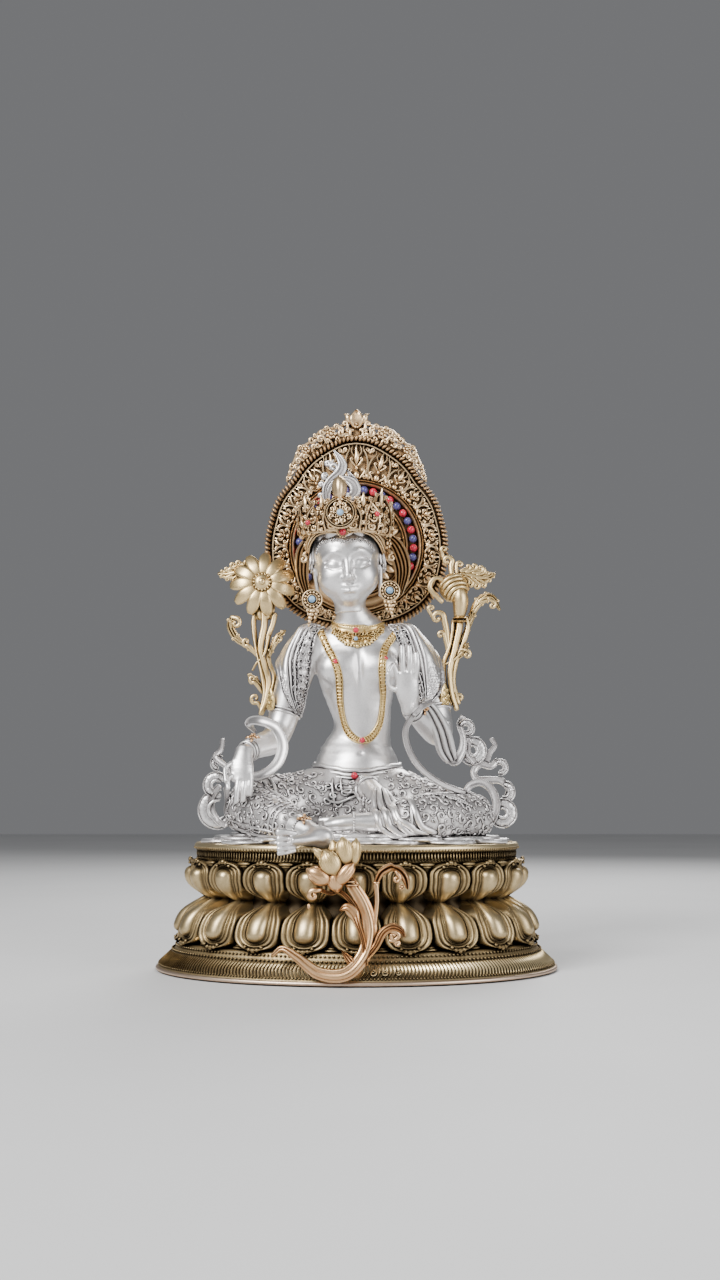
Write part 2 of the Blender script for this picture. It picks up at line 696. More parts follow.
# The middle line of a petal from root to tip
LOWER_ROW = [(85, 42), (90.5, 38.6), (96, 34), (99.4, 28), (100.6, 23), (101, 19.4), (102.4, 16.9)]
UPPER_ROW = [(85, 41.2), (88.6, 44.2), (92, 48), (94, 53), (93.6, 57.6), (93.2, 60.4), (94.2, 62.8)]
# Across a petal from its middle to its rim: share of its half width, and how far it stands out
PETAL_RELIEF = [
    (0, 4.6), (0.12, 4.45), (0.22, 4.0), (0.31, 3.1), (0.38, 2.0), (0.43, 0.7), (0.455, -0.5), (0.48, 0.3),
    (0.51, 0.75), (0.545, 0.5), (0.57, -0.35), (0.6, 0.55), (0.66, 1.15), (0.72, 1.2), (0.765, 0.75),
    (0.79, -0.15), (0.82, 0.8), (0.88, 1.35), (0.94, 1.3), (0.98, 0.7), (1.0, 0.0),
]
TIP_START = 0.56  # share of a petal's length where its round end starts


def wall_reach(z):
    """Half width of the wall behind the petals."""
    return np.interp(z, [height for _, height in CORE_WALL], [reach for reach, _ in CORE_WALL])


def ease(value, start, end):
    """From 0 at start to 1 at end, smoothly."""
    t = np.clip((value - start) / (end - start), 0, 1)
    return t * t * (3 - 2 * t)


def ripple(p, size):
    """Lumps from -1 to 1 about size across."""
    k = TURN / size
    x, y, z = p.T
    across = np.sin(k * x + 1.7 * np.sin(0.63 * k * z))
    return across * np.sin(k * z + 1.5 * np.sin(0.71 * k * x + 0.6 * k * y))


def petal_grid(row, number):
    """One petal of the plinth as a U-shaped grid that follows its rims."""
    reach = np.array([r for r, _ in PETAL_RELIEF] + [1.0])
    relief = np.array([h for _, h in PETAL_RELIEF] + [0.0])
    sides = np.linspace(0, TIP_START, 9)
    bend = np.linspace(-math.pi / 2, math.pi / 2, 17)
    q = np.concatenate([
        np.repeat(sides[:-1, None], len(reach), 1),
        TIP_START + (1 - TIP_START) * np.cos(bend)[:, None] * reach,
        np.repeat(sides[-2::-1, None], len(reach), 1),
    ])
    x = np.concatenate([
        np.repeat(-reach[None], len(sides) - 1, 0),
        np.sin(bend)[:, None] * reach,
        np.repeat(reach[None], len(sides) - 1, 0),
    ])
    width = 0.36 + 0.61 * ease(q, 0.0, 0.42)
    line = smooth(row, 41)
    r = np.interp(q, np.linspace(0, 1, 41), line[:, 0])
    z = np.interp(q, np.linspace(0, 1, 41), line[:, 1])
    swell = 0.45 + 0.55 * ease(q, 0.02, 0.45)
    out = relief * np.where(reach < 0.46, swell, ease(q, 0.0, 0.25))
    out = out - 5.0 * (1 - ease(q, 0.0, 0.3)) * reach**2
    out = out + 1.5 * ease(q, 0.9, 1.0) * (1 - ease(np.abs(x), 0.15, 0.5))
    wall = np.arange(len(reach)) == len(reach) - 1
    r = np.where(wall, wall_reach(z) - 1, r)
    out = np.where(wall, 0, out)
    points = oval((number + 0.5 * x * width) / PETALS, r, z, out)
    return sheet(points)


def sheet(grid):
    """An open grid of points as quads."""
    rows, columns = grid.shape[:2]
    i, j = np.meshgrid(np.arange(rows - 1), np.arange(columns - 1), indexing="ij")
    a = i * columns + j
    quads = np.stack([a, a + 1, a + columns + 1, a + columns], -1).reshape(-1, 4)
    return grid.reshape(-1, 3), quads, np.zeros((0, 3), int)


def flipped(shape):
    return shape[0], shape[1][:, ::-1], shape[2][:, ::-1]


def weld(shape, size=0.01):
    """The shape with points closer than size made one, and faces that fold up left out."""
    points, quads, caps = shape
    places = np.round(points / size).astype(np.int64)
    _, first, back = np.unique(places, axis=0, return_index=True, return_inverse=True)
    back = back.ravel()
    quads, caps = back[quads], back[caps]
    ordered = np.sort(quads, 1)
    doubled = (ordered[:, 1:] == ordered[:, :-1]).sum(1)
    slim = quads[doubled == 1]
    if len(slim):
        keep = np.ones_like(slim, bool)
        for k in range(4):
            same = slim[:, k] == slim[:, (k + 1) % 4]
            keep[same, k] = False
        whole = keep.sum(1) == 3
        caps = np.vstack([caps, slim[whole][keep[whole]].reshape(-1, 3)])
    return points[first], quads[doubled == 0], caps[(np.diff(np.sort(caps, 1)) != 0).all(1)]


def bead_row(count, half_width, z, size, out, offset=0.0):
    """Beads round the plinth."""
    share = (np.arange(count) + offset) / count
    return copies(bead(1, 6, 4), oval(share, half_width, z, out), oval_frames(share),
                  np.tile(size, (count, 1)))


def petal_rows():
    shapes = []
    for row, hang in ((LOWER_ROW, -1), (UPPER_ROW, 1)):
        for number in range(PETALS):
            petal = petal_grid(row, number)
            shapes.append(petal if hang > 0 else flipped(petal))
        tip_r, tip_z = row[-1]
        for side, size in ((0, 1.5), (-1, 1.2), (1, 1.2), (-2, 0.95), (2, 0.95)):
            share = (np.arange(PETALS) + side * 0.085) / PETALS
            at = oval(share, tip_r, tip_z - hang * 0.5 * side**2, 0.9 - 0.12 * abs(side))
            shapes.append(copies(bead(1), at, oval_frames(share),
                                 np.tile([size, 1.3, size * 0.9], (PETALS, 1))))
        share = (np.arange(PETALS) + 0.5) / PETALS
        axes = oval_frames(share)
        core = wall_reach(tip_z - hang * 0.8)
        fan = sweep([[0, -1.5, -hang * 14, 0.25, 0.6], [0, 0.4, -hang * 8, 0.9, 1],
                     [0, 1.4, -hang * 3, 2.0, 1.2], [0, 2.2, -hang * 0.6, 3.2, 1.4]], 8, SLIM, BACK)
        cap = join(ball((0, 3.4, hang * 0.3), (4.4, 1.6, 0.9), 10, 6),
                   ball((0, 3.0, -hang * 0.9), (2.9, 1.4, 0.9), 8, 5))
        shapes.append(copies(join(fan, cap), oval(share, core + 1, tip_z - hang * 0.9), axes))
    return shapes


def feathers():
    """Curved strokes along the slanted band, leaning away from the middle of the front on each side."""
    count = 300
    shapes = []
    t = np.linspace(0, 1, 6)
    for way in (1, -1):
        share = (np.arange(count // 2) + 0.9) / count * way
        lean = (1.6 * t + 1.7 * np.sin(t * math.pi)) * way
        r = 112.5 - 7 * t
        z = 4.7 + 6.4 * t
        centre = oval(share[:, None] + lean / 620, r, z, 0.1)
        for line in centre:
            face = unit(line[3] * [1, 1 / OVAL**2, 0]) + 0.9 * UP
            width = 0.55 * np.sin(np.linspace(0.3, 2.9, 6))
            rows = np.column_stack([line, width, np.full(6, 0.5)])
            shapes.append(sweep(rows, 6, SLIM[::2], face, ready=True))
    return shapes


def plinth():
    columns = 216
    share = np.arange(columns) / columns
    rings = np.stack([oval(share, r, z) for r, z in CORE])
    body = skin(rings)
    lines = [
        bead_row(236, 102.7, 15.0, [0.72, 0.72, 0.66], 0.2),
        bead_row(236, 104.6, 12.5, [0.74, 0.74, 0.7], 0.3, 0.5),
        bead_row(330, 112.6, 4.3, [0.62, 0.6, 0.5], 0.1),
        bead_row(268, 92.2, 69.6, [0.66, 0.6, 0.62], 0.2),
        bead_row(268, 90.4, 66.3, [0.5, 0.75, 1.9], 0.35),
        bead_row(268, 90.9, 68.5, [0.62, 0.6, 0.42], 0.2),
        bead_row(268, 90.8, 64.0, [0.62, 0.6, 0.42], 0.1),
    ]
    shapes = [body, *lines, *feathers(), *front_scrolls()]
    piece("plinth_core", weld(join(*shapes)), BRASS, ["plinth"], 50)
    piece("plinth_petals", weld(join(*petal_rows())), BRASS)
    waist = skin(np.stack([oval(share, r + 0.3, z) for r, z in CORE_WAIST]))
    piece("plinth_waist", waist, DARK_BRASS)
    rim = loop(oval(share, 113.5, 1.7), 1.2, 1.2, ROUND, UP)
    piece("plinth_rim", rim, RIM_BRASS)


def front_scrolls():
    """The scroll ornament in the middle of the slanted band."""
    shapes = []
    for way in (1, -1):
        for k, (start, size) in enumerate(((9, 2.2), (16, 2.0), (23, 1.7))):
            at = oval(np.array([way * start / 640]), 110, 7.2, 0.5)[0]
            turns = 1.1 if (k % 2) else -1.1
            shapes.append(curl(at, size, 90, way * turns, 0.5, face=unit(np.array([0, -1, 0.9]))))
    return shapes


plinth()


# The figure. Stations are [x, y, z, half width, half thickness]; right and left are the figure's own
TORSO = [
    [0.3, 6, 92, 28, 21], [0.3, 7, 103, 28, 19.4], [0.3, 8, 110.8, 26.4, 18], [0.6, 9, 121.2, 22.4, 15.5],
    [2, 9, 128.2, 18.6, 13.4], [3.2, 8, 136.9, 16.3, 12.2], [3.2, 7, 145.5, 16.8, 12.2],
    [2, 7, 154.1, 19, 13.4], [0.9, 6, 165.6, 22.4, 15], [0.6, 6, 177.2, 25.2, 15], [0.3, 6, 187, 25, 12.4],
    [-0.6, 5, 195, 16, 10.5], [-2.2, 3, 203, 9.6, 9.2], [-3.2, 1.5, 212, 9, 9],
]
RIGHT_ARM = [
    [-26, 6, 189, 9, 9], [-33, 6, 176, 10.2, 10], [-38.6, 4.5, 157, 9.4, 9.4], [-43.6, 2, 139, 8.2, 8.2],
    [-47.5, -6, 130.4, 7.6, 7.6], [-54, -20, 126.6, 6.6, 6.4], [-61, -36, 122.6, 4.9, 4.4],
]
LEFT_ARM = [
    [27, 6, 189, 9, 9], [36, 5.5, 175, 10.2, 10], [42.5, 3.5, 156, 9.4, 9.4], [47, 0, 139, 8.2, 8.2],
    [45.4, -9, 134.8, 7.6, 7.6], [38.3, -21, 139.4, 6.5, 6.4], [29.6, -36, 146.6, 4.9, 4.4],
]


def body_clay():
    clay = Clay().add(tube(TORSO, 30))
    clay.add(blob((-24, 6, 186), (10, 9, 8)), 6)
    clay.add(blob((25, 6, 186), (10, 9, 8)), 6)
    clay.add(tube(RIGHT_ARM, 26), 3)
    clay.add(tube(LEFT_ARM, 26), 3)
    clay.add(blob((2.4, -1.5, 116), (13, 7, 10)), 8)
    for x in (-11.4, 13.6):
        clay.add(blob((x, -4.6, 171), (10.4, 6.6, 9.4)), 5)
    clay.cut(tube([[1.1, -9.6, 184, 1.2, 1.2], [1.6, -9.6, 172, 1.2, 1.2], [3, -7.6, 140, 1.2, 1]], 10), 3)
    clay.cut(blob((2.4, -10.2, 122.6), (1.3, 2.4, 0.9)), 0.8)
    for z, y in ((206, -5.4), (209.6, -6.4)):
        clay.cut(tube([[-12.6, 1, z + 0.6, 0.4], [-9, -5, z, 0.4], [-3, y - 2.6, z - 0.4, 0.4],
                       [4, -5, z, 0.4], [7, 1, z + 0.6, 0.4]], 12), 0.8)
    return clay


# The head is shaped in its own frame: right, outward and up from a point between the eyes
HEAD_AT = np.array([-5.2, 1.0, 231.0])
HEAD_TILT = math.radians(4)
HEAD_NOD = math.radians(5)
HEAD_UP = np.array([-math.sin(HEAD_TILT), 0, math.cos(HEAD_TILT)])
HEAD_SIDE = np.array([math.cos(HEAD_TILT), 0, math.sin(HEAD_TILT)])
HEAD_OUT = FRONT * math.cos(HEAD_NOD) - HEAD_UP * math.sin(HEAD_NOD)
HEAD_RISE = np.cross(HEAD_OUT, HEAD_SIDE)
HEAD_AXES = np.stack([HEAD_SIDE, HEAD_OUT, HEAD_RISE])


def on_head(stations):
    """Stations given in the head's frame, in the frame of the figure."""
    rows = full_rows(stations)
    return np.hstack([HEAD_AT + rows[:, :3] @ HEAD_AXES, rows[:, 3:]])


def head_blob(u, v, w, radii):
    return blob(HEAD_AT + np.array([u, v, w]) @ HEAD_AXES, radii, HEAD_AXES)


def head_tube(stations):
    return tube(on_head(stations), 12, HEAD_OUT)


def head_clay():
    clay = Clay().add(head_blob(0, -3.5, 6, (18.6, 19.5, 20)))
    clay.add(head_blob(0, 3.4, 8.6, (16.4, 14.2, 12.5)), 6)
    clay.add(head_blob(0, 2.4, -7.5, (16.4, 14.4, 14)), 7)
    clay.add(head_blob(0, 10.4, -18.6, (5.6, 5.4, 4.4)), 7)
    for way in (-1, 1):
        clay.add(head_blob(way * 8.4, 8.2, -8.2, (7.8, 7.4, 7.6)), 5)
        clay.cut(head_blob(way * 7.4, 19.2, 1.2, (5.6, 3.1, 3.4)), 4)
        clay.add(head_blob(way * 7.4, 10.9, -0.8, (5.4, 5.1, 4.2)), 0.9)
        clay.add(head_tube([[way * 2.6, 16.4, 4.6, 1.0], [way * 7.6, 16.4, 6.4, 1.1],
                            [way * 13.4, 11.6, 3.8, 0.8]]), 2.2)
    clay.add(head_tube([[0, 15.2, 4.4, 2.0, 1.6], [0, 17.4, -2, 1.9, 1.8], [0, 19.2, -7.2, 2.2, 2.0]]), 2.4)
    clay.add(head_blob(0, 19.4, -8.0, (2.3, 2.0, 2.0)), 1.2)
    for way in (-1, 1):
        clay.add(head_blob(way * 2.5, 17.0, -8.6, (1.5, 2.1, 1.5)), 0.9)
        clay.cut(head_blob(way * 1.3, 18.6, -10.1, (0.6, 0.9, 0.5)), 0.5)
        clay.cut(head_tube([[way * 3.3, 16.3, -2.1, 0.45], [way * 7.4, 16.9, -2.9, 0.65],
                            [way * 12, 13.4, -1.1, 0.55]]), 0.8)
        clay.cut(head_tube([[way * 3.4, 16.6, 1.2, 0.4], [way * 7.4, 16.2, 3.0, 0.55],
                            [way * 12.2, 12.7, 1.6, 0.5]]), 0.8)
    clay.add(head_blob(0, 13.2, -14.0, (6.6, 4.0, 4.2)), 3)
    clay.add(head_tube([[-4.9, 14.6, -13.6, 0.6], [-2.2, 16.9, -12.9, 1.05], [0, 17.5, -13.3, 1.0],
                        [2.2, 16.9, -12.9, 1.05], [4.9, 14.6, -13.6, 0.6]]), 0.8)
    clay.add(head_tube([[-4.2, 14.7, -14.5, 0.6], [0, 17.2, -15.6, 1.3, 1.2], [4.2, 14.7, -14.5, 0.6]]), 0.8)
    clay.cut(head_tube([[-4.6, 16.7, -13.8, 0.25], [-2.4, 18.1, -13.9, 0.5], [0, 18.9, -14.3, 0.5],
                        [2.4, 18.1, -13.9, 0.5], [4.6, 16.7, -13.8, 0.25]]), 1.0)
    clay.cut(head_tube([[0, 17.9, -10.6, 0.5], [0, 18.0, -12, 0.6]]), 0.8)
    clay.cut(head_tube([[-2.6, 16.3, -17.6, 0.5], [0, 17.2, -18.0, 0.8], [2.6, 16.3, -17.6, 0.5]]), 1.6)
    for way in (-1, 1):
        ear = [[way * 18.1, -3.4, 4.6, 1.3, 3.0], [way * 18.9, -2.6, -1, 1.4, 2.9],
               [way * 18.7, -2.2, -7, 1.2, 2.1], [way * 18.2, -2.0, -13, 1.2, 1.9],
               [way * 17.7, -1.8, -18, 1.2, 1.8]]
        clay.add(tube(on_head(ear), 16, HEAD_OUT), 0.8)
        clay.cut(head_blob(way * 19.6, -1.0, 0.6, (1.0, 1.2, 3.4)), 0.6)
    clay.add(tube([[-4.6, 1, 218, 9, 9.4], [-3.4, 1.6, 205, 9, 9]], 6), 3)
    return clay


def hand_clay(palm, fingers):
    clay = Clay().add(tube(palm, 12), 1)
    for number, joints in enumerate(fingers):
        thick = 1.86 * (1.08 - 0.1 * number)
        sizes = np.linspace(1.04, 0.86, len(joints))
        rows = smooth([[*at, thick * size] for at, size in zip(joints, sizes)], 10)
        clay.add(tube(np.column_stack([rows, rows[:, 3]]), ready=True), 0.7)
    return clay


RIGHT_PALM = [[-61, -36, 123.5, 4.9, 3.8], [-61.5, -38, 120.5, 5, 3.4], [-62.2, -41, 114, 6.4, 3],
              [-61.8, -42.5, 107.6, 6.1, 2.5]]
LEFT_PALM = [[29.4, -36.4, 145.6, 4.9, 3.8], [29, -38, 148.5, 5, 3.4], [27.6, -41, 156, 6.4, 3],
             [27.2, -42.5, 164.6, 6.1, 2.5]]
RIGHT_FINGERS = [
    [[-57.6, -41.8, 110], [-57.7, -43.4, 104], [-58, -43.2, 99.6]],
    [[-60.4, -42.2, 109], [-61.0, -44.2, 102.6], [-61.4, -44.2, 96.4]],
    [[-63.6, -42.4, 109], [-64.4, -44.8, 102.4], [-65, -45, 95.4]],
    [[-66.4, -41.8, 110.4], [-69.4, -44.8, 107.6], [-69.2, -46.6, 102.4]],
    [[-66.2, -40.6, 117.4], [-70.8, -43.6, 113.6], [-70.4, -47, 106.6]],
]
LEFT_FINGERS = [
    [[31.4, -42, 163], [32.6, -43.8, 169.6], [32.4, -43.4, 175.2]],
    [[28.4, -42.4, 163.6], [28.9, -44.4, 171.4], [28.6, -43.8, 179]],
    [[25.2, -42.6, 163.6], [24.8, -44.8, 171.6], [24.6, -44.4, 179.2]],
    [[22.6, -42.4, 162.6], [19.8, -44.6, 169], [17.4, -46.6, 165.6]],
    [[22.8, -41, 155.4], [17.4, -43.6, 158], [16.8, -46.6, 164.2]],
]
RIGHT_THIGH = [[-8, 6, 98, 22, 20], [-34, -3, 93.5, 18, 17], [-50, -12, 93.5, 16.4, 16],
               [-59, -17, 93, 14, 14]]
RIGHT_SHIN = [[-60, -20, 91, 14, 13.6], [-48, -38, 87, 12.4, 12], [-36, -51, 83.6, 9.6, 9]]
LEFT_THIGH = [[8, 6, 98, 22, 20], [36, -3, 91, 17.4, 17], [56, -12, 88, 14.4, 13.6],
              [67, -17, 86.4, 11, 10.6]]
LEFT_SHIN = [[65, -21, 86.4, 12, 11.4], [42, -38, 85.8, 13.2, 12], [27, -43, 85.4, 11.8, 11]]
LEFT_HEM = [[4, -14, 106, 6, 5], [12, -34, 94, 8, 6], [18, -46, 82, 8, 4.6], [25, -50, 77.4, 7, 2]]


def legs_clay():
    clay = Clay()
    clay.add(tube([[0.3, 6, 84, 28, 23], [0.3, 7, 98, 29, 20.4], [0.3, 8, 106, 27.6, 19],
                   [0.5, 8.4, 112, 25.6, 17.4]], 12))
    for stations in (RIGHT_THIGH, RIGHT_SHIN, LEFT_THIGH, LEFT_SHIN):
        clay.add(tube(stations, 14), 5)
    clay.add(tube(LEFT_HEM, 12), 3)
    return clay


RIGHT_ANKLE = [[-38, -49, 84, 8, 7.4], [-31, -56, 81.6, 6.8, 6.2], [-24, -61.6, 79, 5.4, 5.6],
               [-19, -66, 77, 4.4, 5.4]]
RIGHT_SOLE = [[-18, -66.4, 77, 4.6, 5.2], [-25, -69.6, 75.8, 3.4, 4.6], [-33.4, -71.2, 75.2, 2.8, 5.6]]
RIGHT_TOES = [(79.6, 2.1), (76.0, 1.6), (73.3, 1.45), (70.8, 1.3), (68.5, 1.15)]  # height, radius
LEFT_FOOT = [[31, -43, 85.2, 9.6, 9], [20, -44.6, 84.8, 7.6, 7], [9, -46.5, 84.4, 5.6, 5.6],
             [0, -47.4, 84.4, 4.6, 5], [-9, -47, 83.6, 4.2, 5.4], [-15, -45, 82.8, 3.2, 4.8]]


def feet_clay():
    right = Clay().add(tube(RIGHT_ANKLE, 12)).add(tube(RIGHT_SOLE, 10), 3)
    right.add(blob((-16.4, -66.6, 76.6), (4.6, 4.4, 4.8)), 3)
    for z, thick in RIGHT_TOES:
        toe = [[-32, -71.0, z * 0.8 + 15, thick * 0.9], [-37, -72.6, z + 0.2, thick * 0.82],
               [-40.4, -72.4, z, thick * 1.1]]
        right.add(tube(toe, 8), 0.35)
    left = Clay().add(tube(LEFT_FOOT, 16))
    for k in range(5):
        left.add(tube([[-14, -46.6 + k * 1.3, 86 - k * 1.9, 1.5],
                       [-19.6, -45.4 + k * 1.2, 85.2 - k * 1.9, 1.5 - 0.1 * k]], 5), 0.8)
    return right, left


BODY = body_clay()
HEAD = head_clay()
LEGS = legs_clay()
RIGHT_FOOT, LEFT_FOOT_CLAY = feet_clay()
RIGHT_HAND = hand_clay(RIGHT_PALM, RIGHT_FINGERS)
LEFT_HAND = hand_clay(LEFT_PALM, LEFT_FINGERS)


def figure():
    piece("figure_body", cast(BODY, (-62, -42, 104), (62, 30, 207), 1.25), SILVER_SKIN, ["figure"])
    piece("figure_head", cast(HEAD, (-32, -26, 203), (20, 26, 262), 0.6), SILVER_SKIN)
    piece("figure_legs", cast(LEGS, (-80, -66, 73.4), (84, 32, 114), 1.25), SILVER_CLOTH)
    piece("figure_foot_right", cast(RIGHT_FOOT, (-44, -77, 66), (-8, -44, 94), 0.55), SILVER_SKIN)
    piece("figure_foot_left", cast(LEFT_FOOT_CLAY, (-24, -56, 74), (34, -32, 96), 0.6), SILVER_SKIN)
    piece("figure_hand_right", cast(RIGHT_HAND, (-76, -52, 92), (-52, -30, 127), 0.45), SILVER_SKIN)
    piece("figure_hand_left", cast(LEFT_HAND, (12, -52, 142), (38, -30, 183), 0.45), SILVER_SKIN)


figure()


# The halo: a plate with a ring of beads, flame motifs, a rope border and a crest
ROPE = [
    (0, 314.4), (8, 313.2), (17, 309), (26, 303), (32, 297), (38, 288.6), (44, 281.4), (48.2, 274),
    (51.2, 264), (53, 256), (53.6, 248), (52.6, 236), (48.4, 223.4), (38, 211), (21, 202.4), (0, 199.6),
]
ROPE_BEADS = 136
PLATE_STEPS = 180
LINE_STEPS = 150
CIRCLE_STEPS = 96
MOTIF_STEP = 16.2  # degrees from one flame to the next
MOTIF_START = RING_OUTER + 2.6  # radius where the flames stand
LAST_MOTIF = 172  # degrees from straight up
BEAD_FIRST = 128.6  # degrees from straight up towards +X
BEAD_STEP = 9.3
RAYS = 32
BACK_LEAVES = 16
CREST = [(0, 79), (5, 73.5), (9, 70.6), (16, 70.6), (22, 68), (29, 66), (35, 61.5), (41, 57.6), (180, 0)]


def halo_outline(count, out=0.0):
    """The halo's outline as points [x, z] clockwise from the top, moved out from the rope line."""
    half = smooth(np.array([(x, z, 0) for x, z in ROPE]), 120)[:, :2]
    whole = np.vstack([half, (half * [-1, 1])[-2:0:-1]])
    line = evenly(np.column_stack([whole, np.zeros(len(whole))]), count, closed=True)[:, :2]
    away = unit(line - [0, HALO_CENTRE_Z])
    return line + away * out


def polar_point(degrees, radius, y=HALO_FRONT):
    """A point on the halo, by its angle from straight up towards +X."""
    a = math.radians(degrees)
    return np.array([radius * math.sin(a), y, HALO_CENTRE_Z + radius * math.cos(a)])


def on_halo(shape, degrees, radius, y=HALO_FRONT):
    """A shape drawn upright, standing on the halo at an angle with its top outward."""
    a = math.radians(degrees)
    side, rise = (math.cos(a), 0, -math.sin(a)), (math.sin(a), 0, math.cos(a))
    return place(shape, polar_point(degrees, radius, y), side, (0, 1, 0), rise)


def flame(width, height):
    """A flame motif: a leaf over a shell, between scrolls and curved side leaves."""
    w, h = width, height
    parts = [
        sweep([[0, -1.5, 0.42 * h, 0.05 * w, 0.6], [0, -1.9, 0.56 * h, 0.2 * w, 1.1],
               [0.03 * w, -1.8, 0.72 * h, 0.17 * w, 1], [-0.03 * w, -1.2, 0.88 * h, 0.1 * w, 0.8],
               [0.06 * w, -0.8, 1.02 * h, 0.02 * w, 0.4]], 10, SLIM),
        ball((0, -1.4, 0.12 * h), (0.26 * w, 1.5, 0.12 * h), 8, 6),
        ball((0, -1.2, 0.32 * h), (0.13 * w, 1.3, 0.08 * h), 8, 5),
    ]
    for way in (-1, 1):
        parts.append(curl((way * 0.5 * w, -1.3, 0.25 * h), 0.21 * w, 90 - way * 150, way * 0.85, 0.078 * w,
                          steps=11, lead=[[way * 0.12 * w, -0.9, 0.02 * h, 0.07 * w],
                                          [way * 0.3 * w, -1.1, 0.05 * h, 0.08 * w]]))
        parts.append(curl((way * 0.36 * w, -1.5, 0.57 * h), 0.17 * w, 90 - way * 170, way * 0.85, 0.07 * w,
                          steps=10, lead=[[way * 0.06 * w, -1.1, 0.38 * h, 0.06 * w],
                                          [way * 0.2 * w, -1.3, 0.41 * h, 0.07 * w]]))
        parts.append(sweep([[way * 0.7 * w, -0.7, 0.1 * h, 0.07 * w, 0.8],
                            [way * 0.92 * w, -1.2, 0.4 * h, 0.12 * w, 0.9],
                            [way * 0.8 * w, -1.3, 0.68 * h, 0.1 * w, 0.9],
                            [way * 0.56 * w, -1, 0.86 * h, 0.05 * w, 0.6],
                            [way * 0.68 * w, -0.8, 0.99 * h, 0.02 * w, 0.4]], 10, SLIM))
        parts.append(sweep([[way * 0.1 * w, -1.2, 0.6 * h, 0.05 * w, 0.6],
                            [way * 0.42 * w, -1.4, 0.78 * h, 0.08 * w, 0.8],
                            [way * 0.3 * w, -1.0, 0.94 * h, 0.03 * w, 0.5]], 7, SLIM))
    return join(*parts)


def rosette(radius, petals=7):
    """A flower of round petals about a button."""
    parts = [ball((0, -2.4, 0), (radius * 0.36, 1.1, radius * 0.36), 8, 6)]
    for k in range(petals):
        a = TURN * k / petals
        parts.append(ball((0.64 * radius * math.sin(a), -1.5, 0.64 * radius * math.cos(a)),
                          (radius * 0.34,) * 3, 7, 5))
    return join(*parts)


def rope_border():
    """Slanted beads round the edge, twisted to each side from the top."""
    count = ROPE_BEADS
    line = halo_outline(count)
    ahead = unit(np.roll(line, -1, 0) - np.roll(line, 1, 0))
    way = np.where(np.arange(count) < count / 2, 1, -1)[:, None]
    along = np.column_stack([ahead[:, 0], np.zeros(count), ahead[:, 1]]) * way
    across = np.column_stack([-ahead[:, 1], np.zeros(count), ahead[:, 0]]) * way
    long_way = unit(across + 0.55 * along)
    short_way = unit(along - 0.55 * across)
    axes = np.stack([long_way, np.broadcast_to([0, 1.0, 0], along.shape), short_way], 1)
    at = np.column_stack([line[:, 0], np.full(count, HALO_FRONT - 0.9), line[:, 1]])
    return copies(bead(1), at, axes, np.tile([2.15, 1.7, 1.12], (count, 1)))


def crest():
    """Scrolls, rosettes and a leaf finial outside the rope, over the top of the halo."""
    parts = []
    finial = [sweep([[0, -1, -1, 2.4, 1.2], [0, -1.7, 2.4, 4.0, 1.7], [0, -1.6, 5.4, 3.4, 1.5],
                     [0, -1, 9.2, 0.3, 0.7]],
                    14, RIDGED * 1.1)]
    for way in (-1, 1):
        finial.append(sweep([[way * 2.4, -1.0, 0.4, 0.8, 0.9], [way * 4.8, -1.5, 3.4, 1.7, 1.2],
                             [way * 5.6, -1.4, 5.6, 1.3, 1.0], [way * 7.4, -1, 6.4, 0.3, 0.5]], 10, SLIM))
        finial.append(curl((way * 7.0, -1, 0.6), 2.1, 90 + way * 130, -way * 0.9, 0.95, steps=11,
                           lead=[[way * 2.0, -1, -3.2, 0.9], [way * 5.0, -1, -2.4, 1.0]]))
        finial.append(curl((way * 5.2, -1, -3.6), 2.0, 90 + way * 150, -way * 0.9, 0.9, steps=11,
                           lead=[[way * 0.6, -1, -7.5, 0.8], [way * 3.4, -1, -6.6, 0.9]]))
        finial.append(curl((way * 9.8, -1, -2.6), 1.9, 90 + way * 130, -way * 0.9, 0.9, steps=11,
                           lead=[[way * 6.4, -1, -6.2, 0.8], [way * 8.8, -1, -5.4, 0.9]]))
    parts.append(on_halo(join(*finial, rosette(2.4)), 0, 73.6))
    for way in (-1, 1):
        for degrees, radius, size in ((12.6, 69.6, 3.3), (27.5, 66.2, 2.9)):
            parts.append(on_halo(rosette(size), way * degrees, radius, HALO_FRONT))
        for degrees, radius, size, spin in (
            (7.4, 69.6, 2.4, 1), (9.6, 73.4, 1.7, -1), (16.6, 72.2, 1.9, 1), (18.4, 68.4, 2.4, -1),
            (22.6, 70, 2.1, 1), (23.2, 65.4, 1.8, -1), (31.8, 66.2, 2.1, 1), (34, 62.4, 2.0, -1),
            (38.4, 62.6, 1.8, 1), (41.4, 60, 1.6, 1), (44.6, 58.6, 1.4, 1), (5, 66, 1.7, -1),
            (9.6, 66.2, 1.8, 1), (15.4, 65.8, 1.8, -1), (20.6, 65.6, 1.5, 1), (29.4, 62.4, 1.7, -1),
            (36.8, 59.8, 1.4, 1), (14.2, 73.6, 1.4, -1), (20.2, 71.8, 1.5, 1), (29.6, 68.6, 1.6, -1),
        ):
            one = curl((0, -1.1, 0), 1.14 * size, 200, spin * 1.05, 0.44 * size, steps=11,
                       lead=[[-1.5 * size, -0.8, -0.8 * size, 0.34 * size]])
            parts.append(on_halo(handed(one, way), way * degrees, radius))
        edge = [[*polar_point(way * a, r, HALO_FRONT + 1), 1.0, 1.6] for a, r in (
            (4, 75.2), (8, 73.6), (12, 73.4), (17, 73.6), (20, 71.4), (25, 69.2), (30, 69), (35, 64.8),
            (40, 61.8), (46, 58))]
        parts.append(sweep(edge, 30, SLIM))
    return join(*parts)


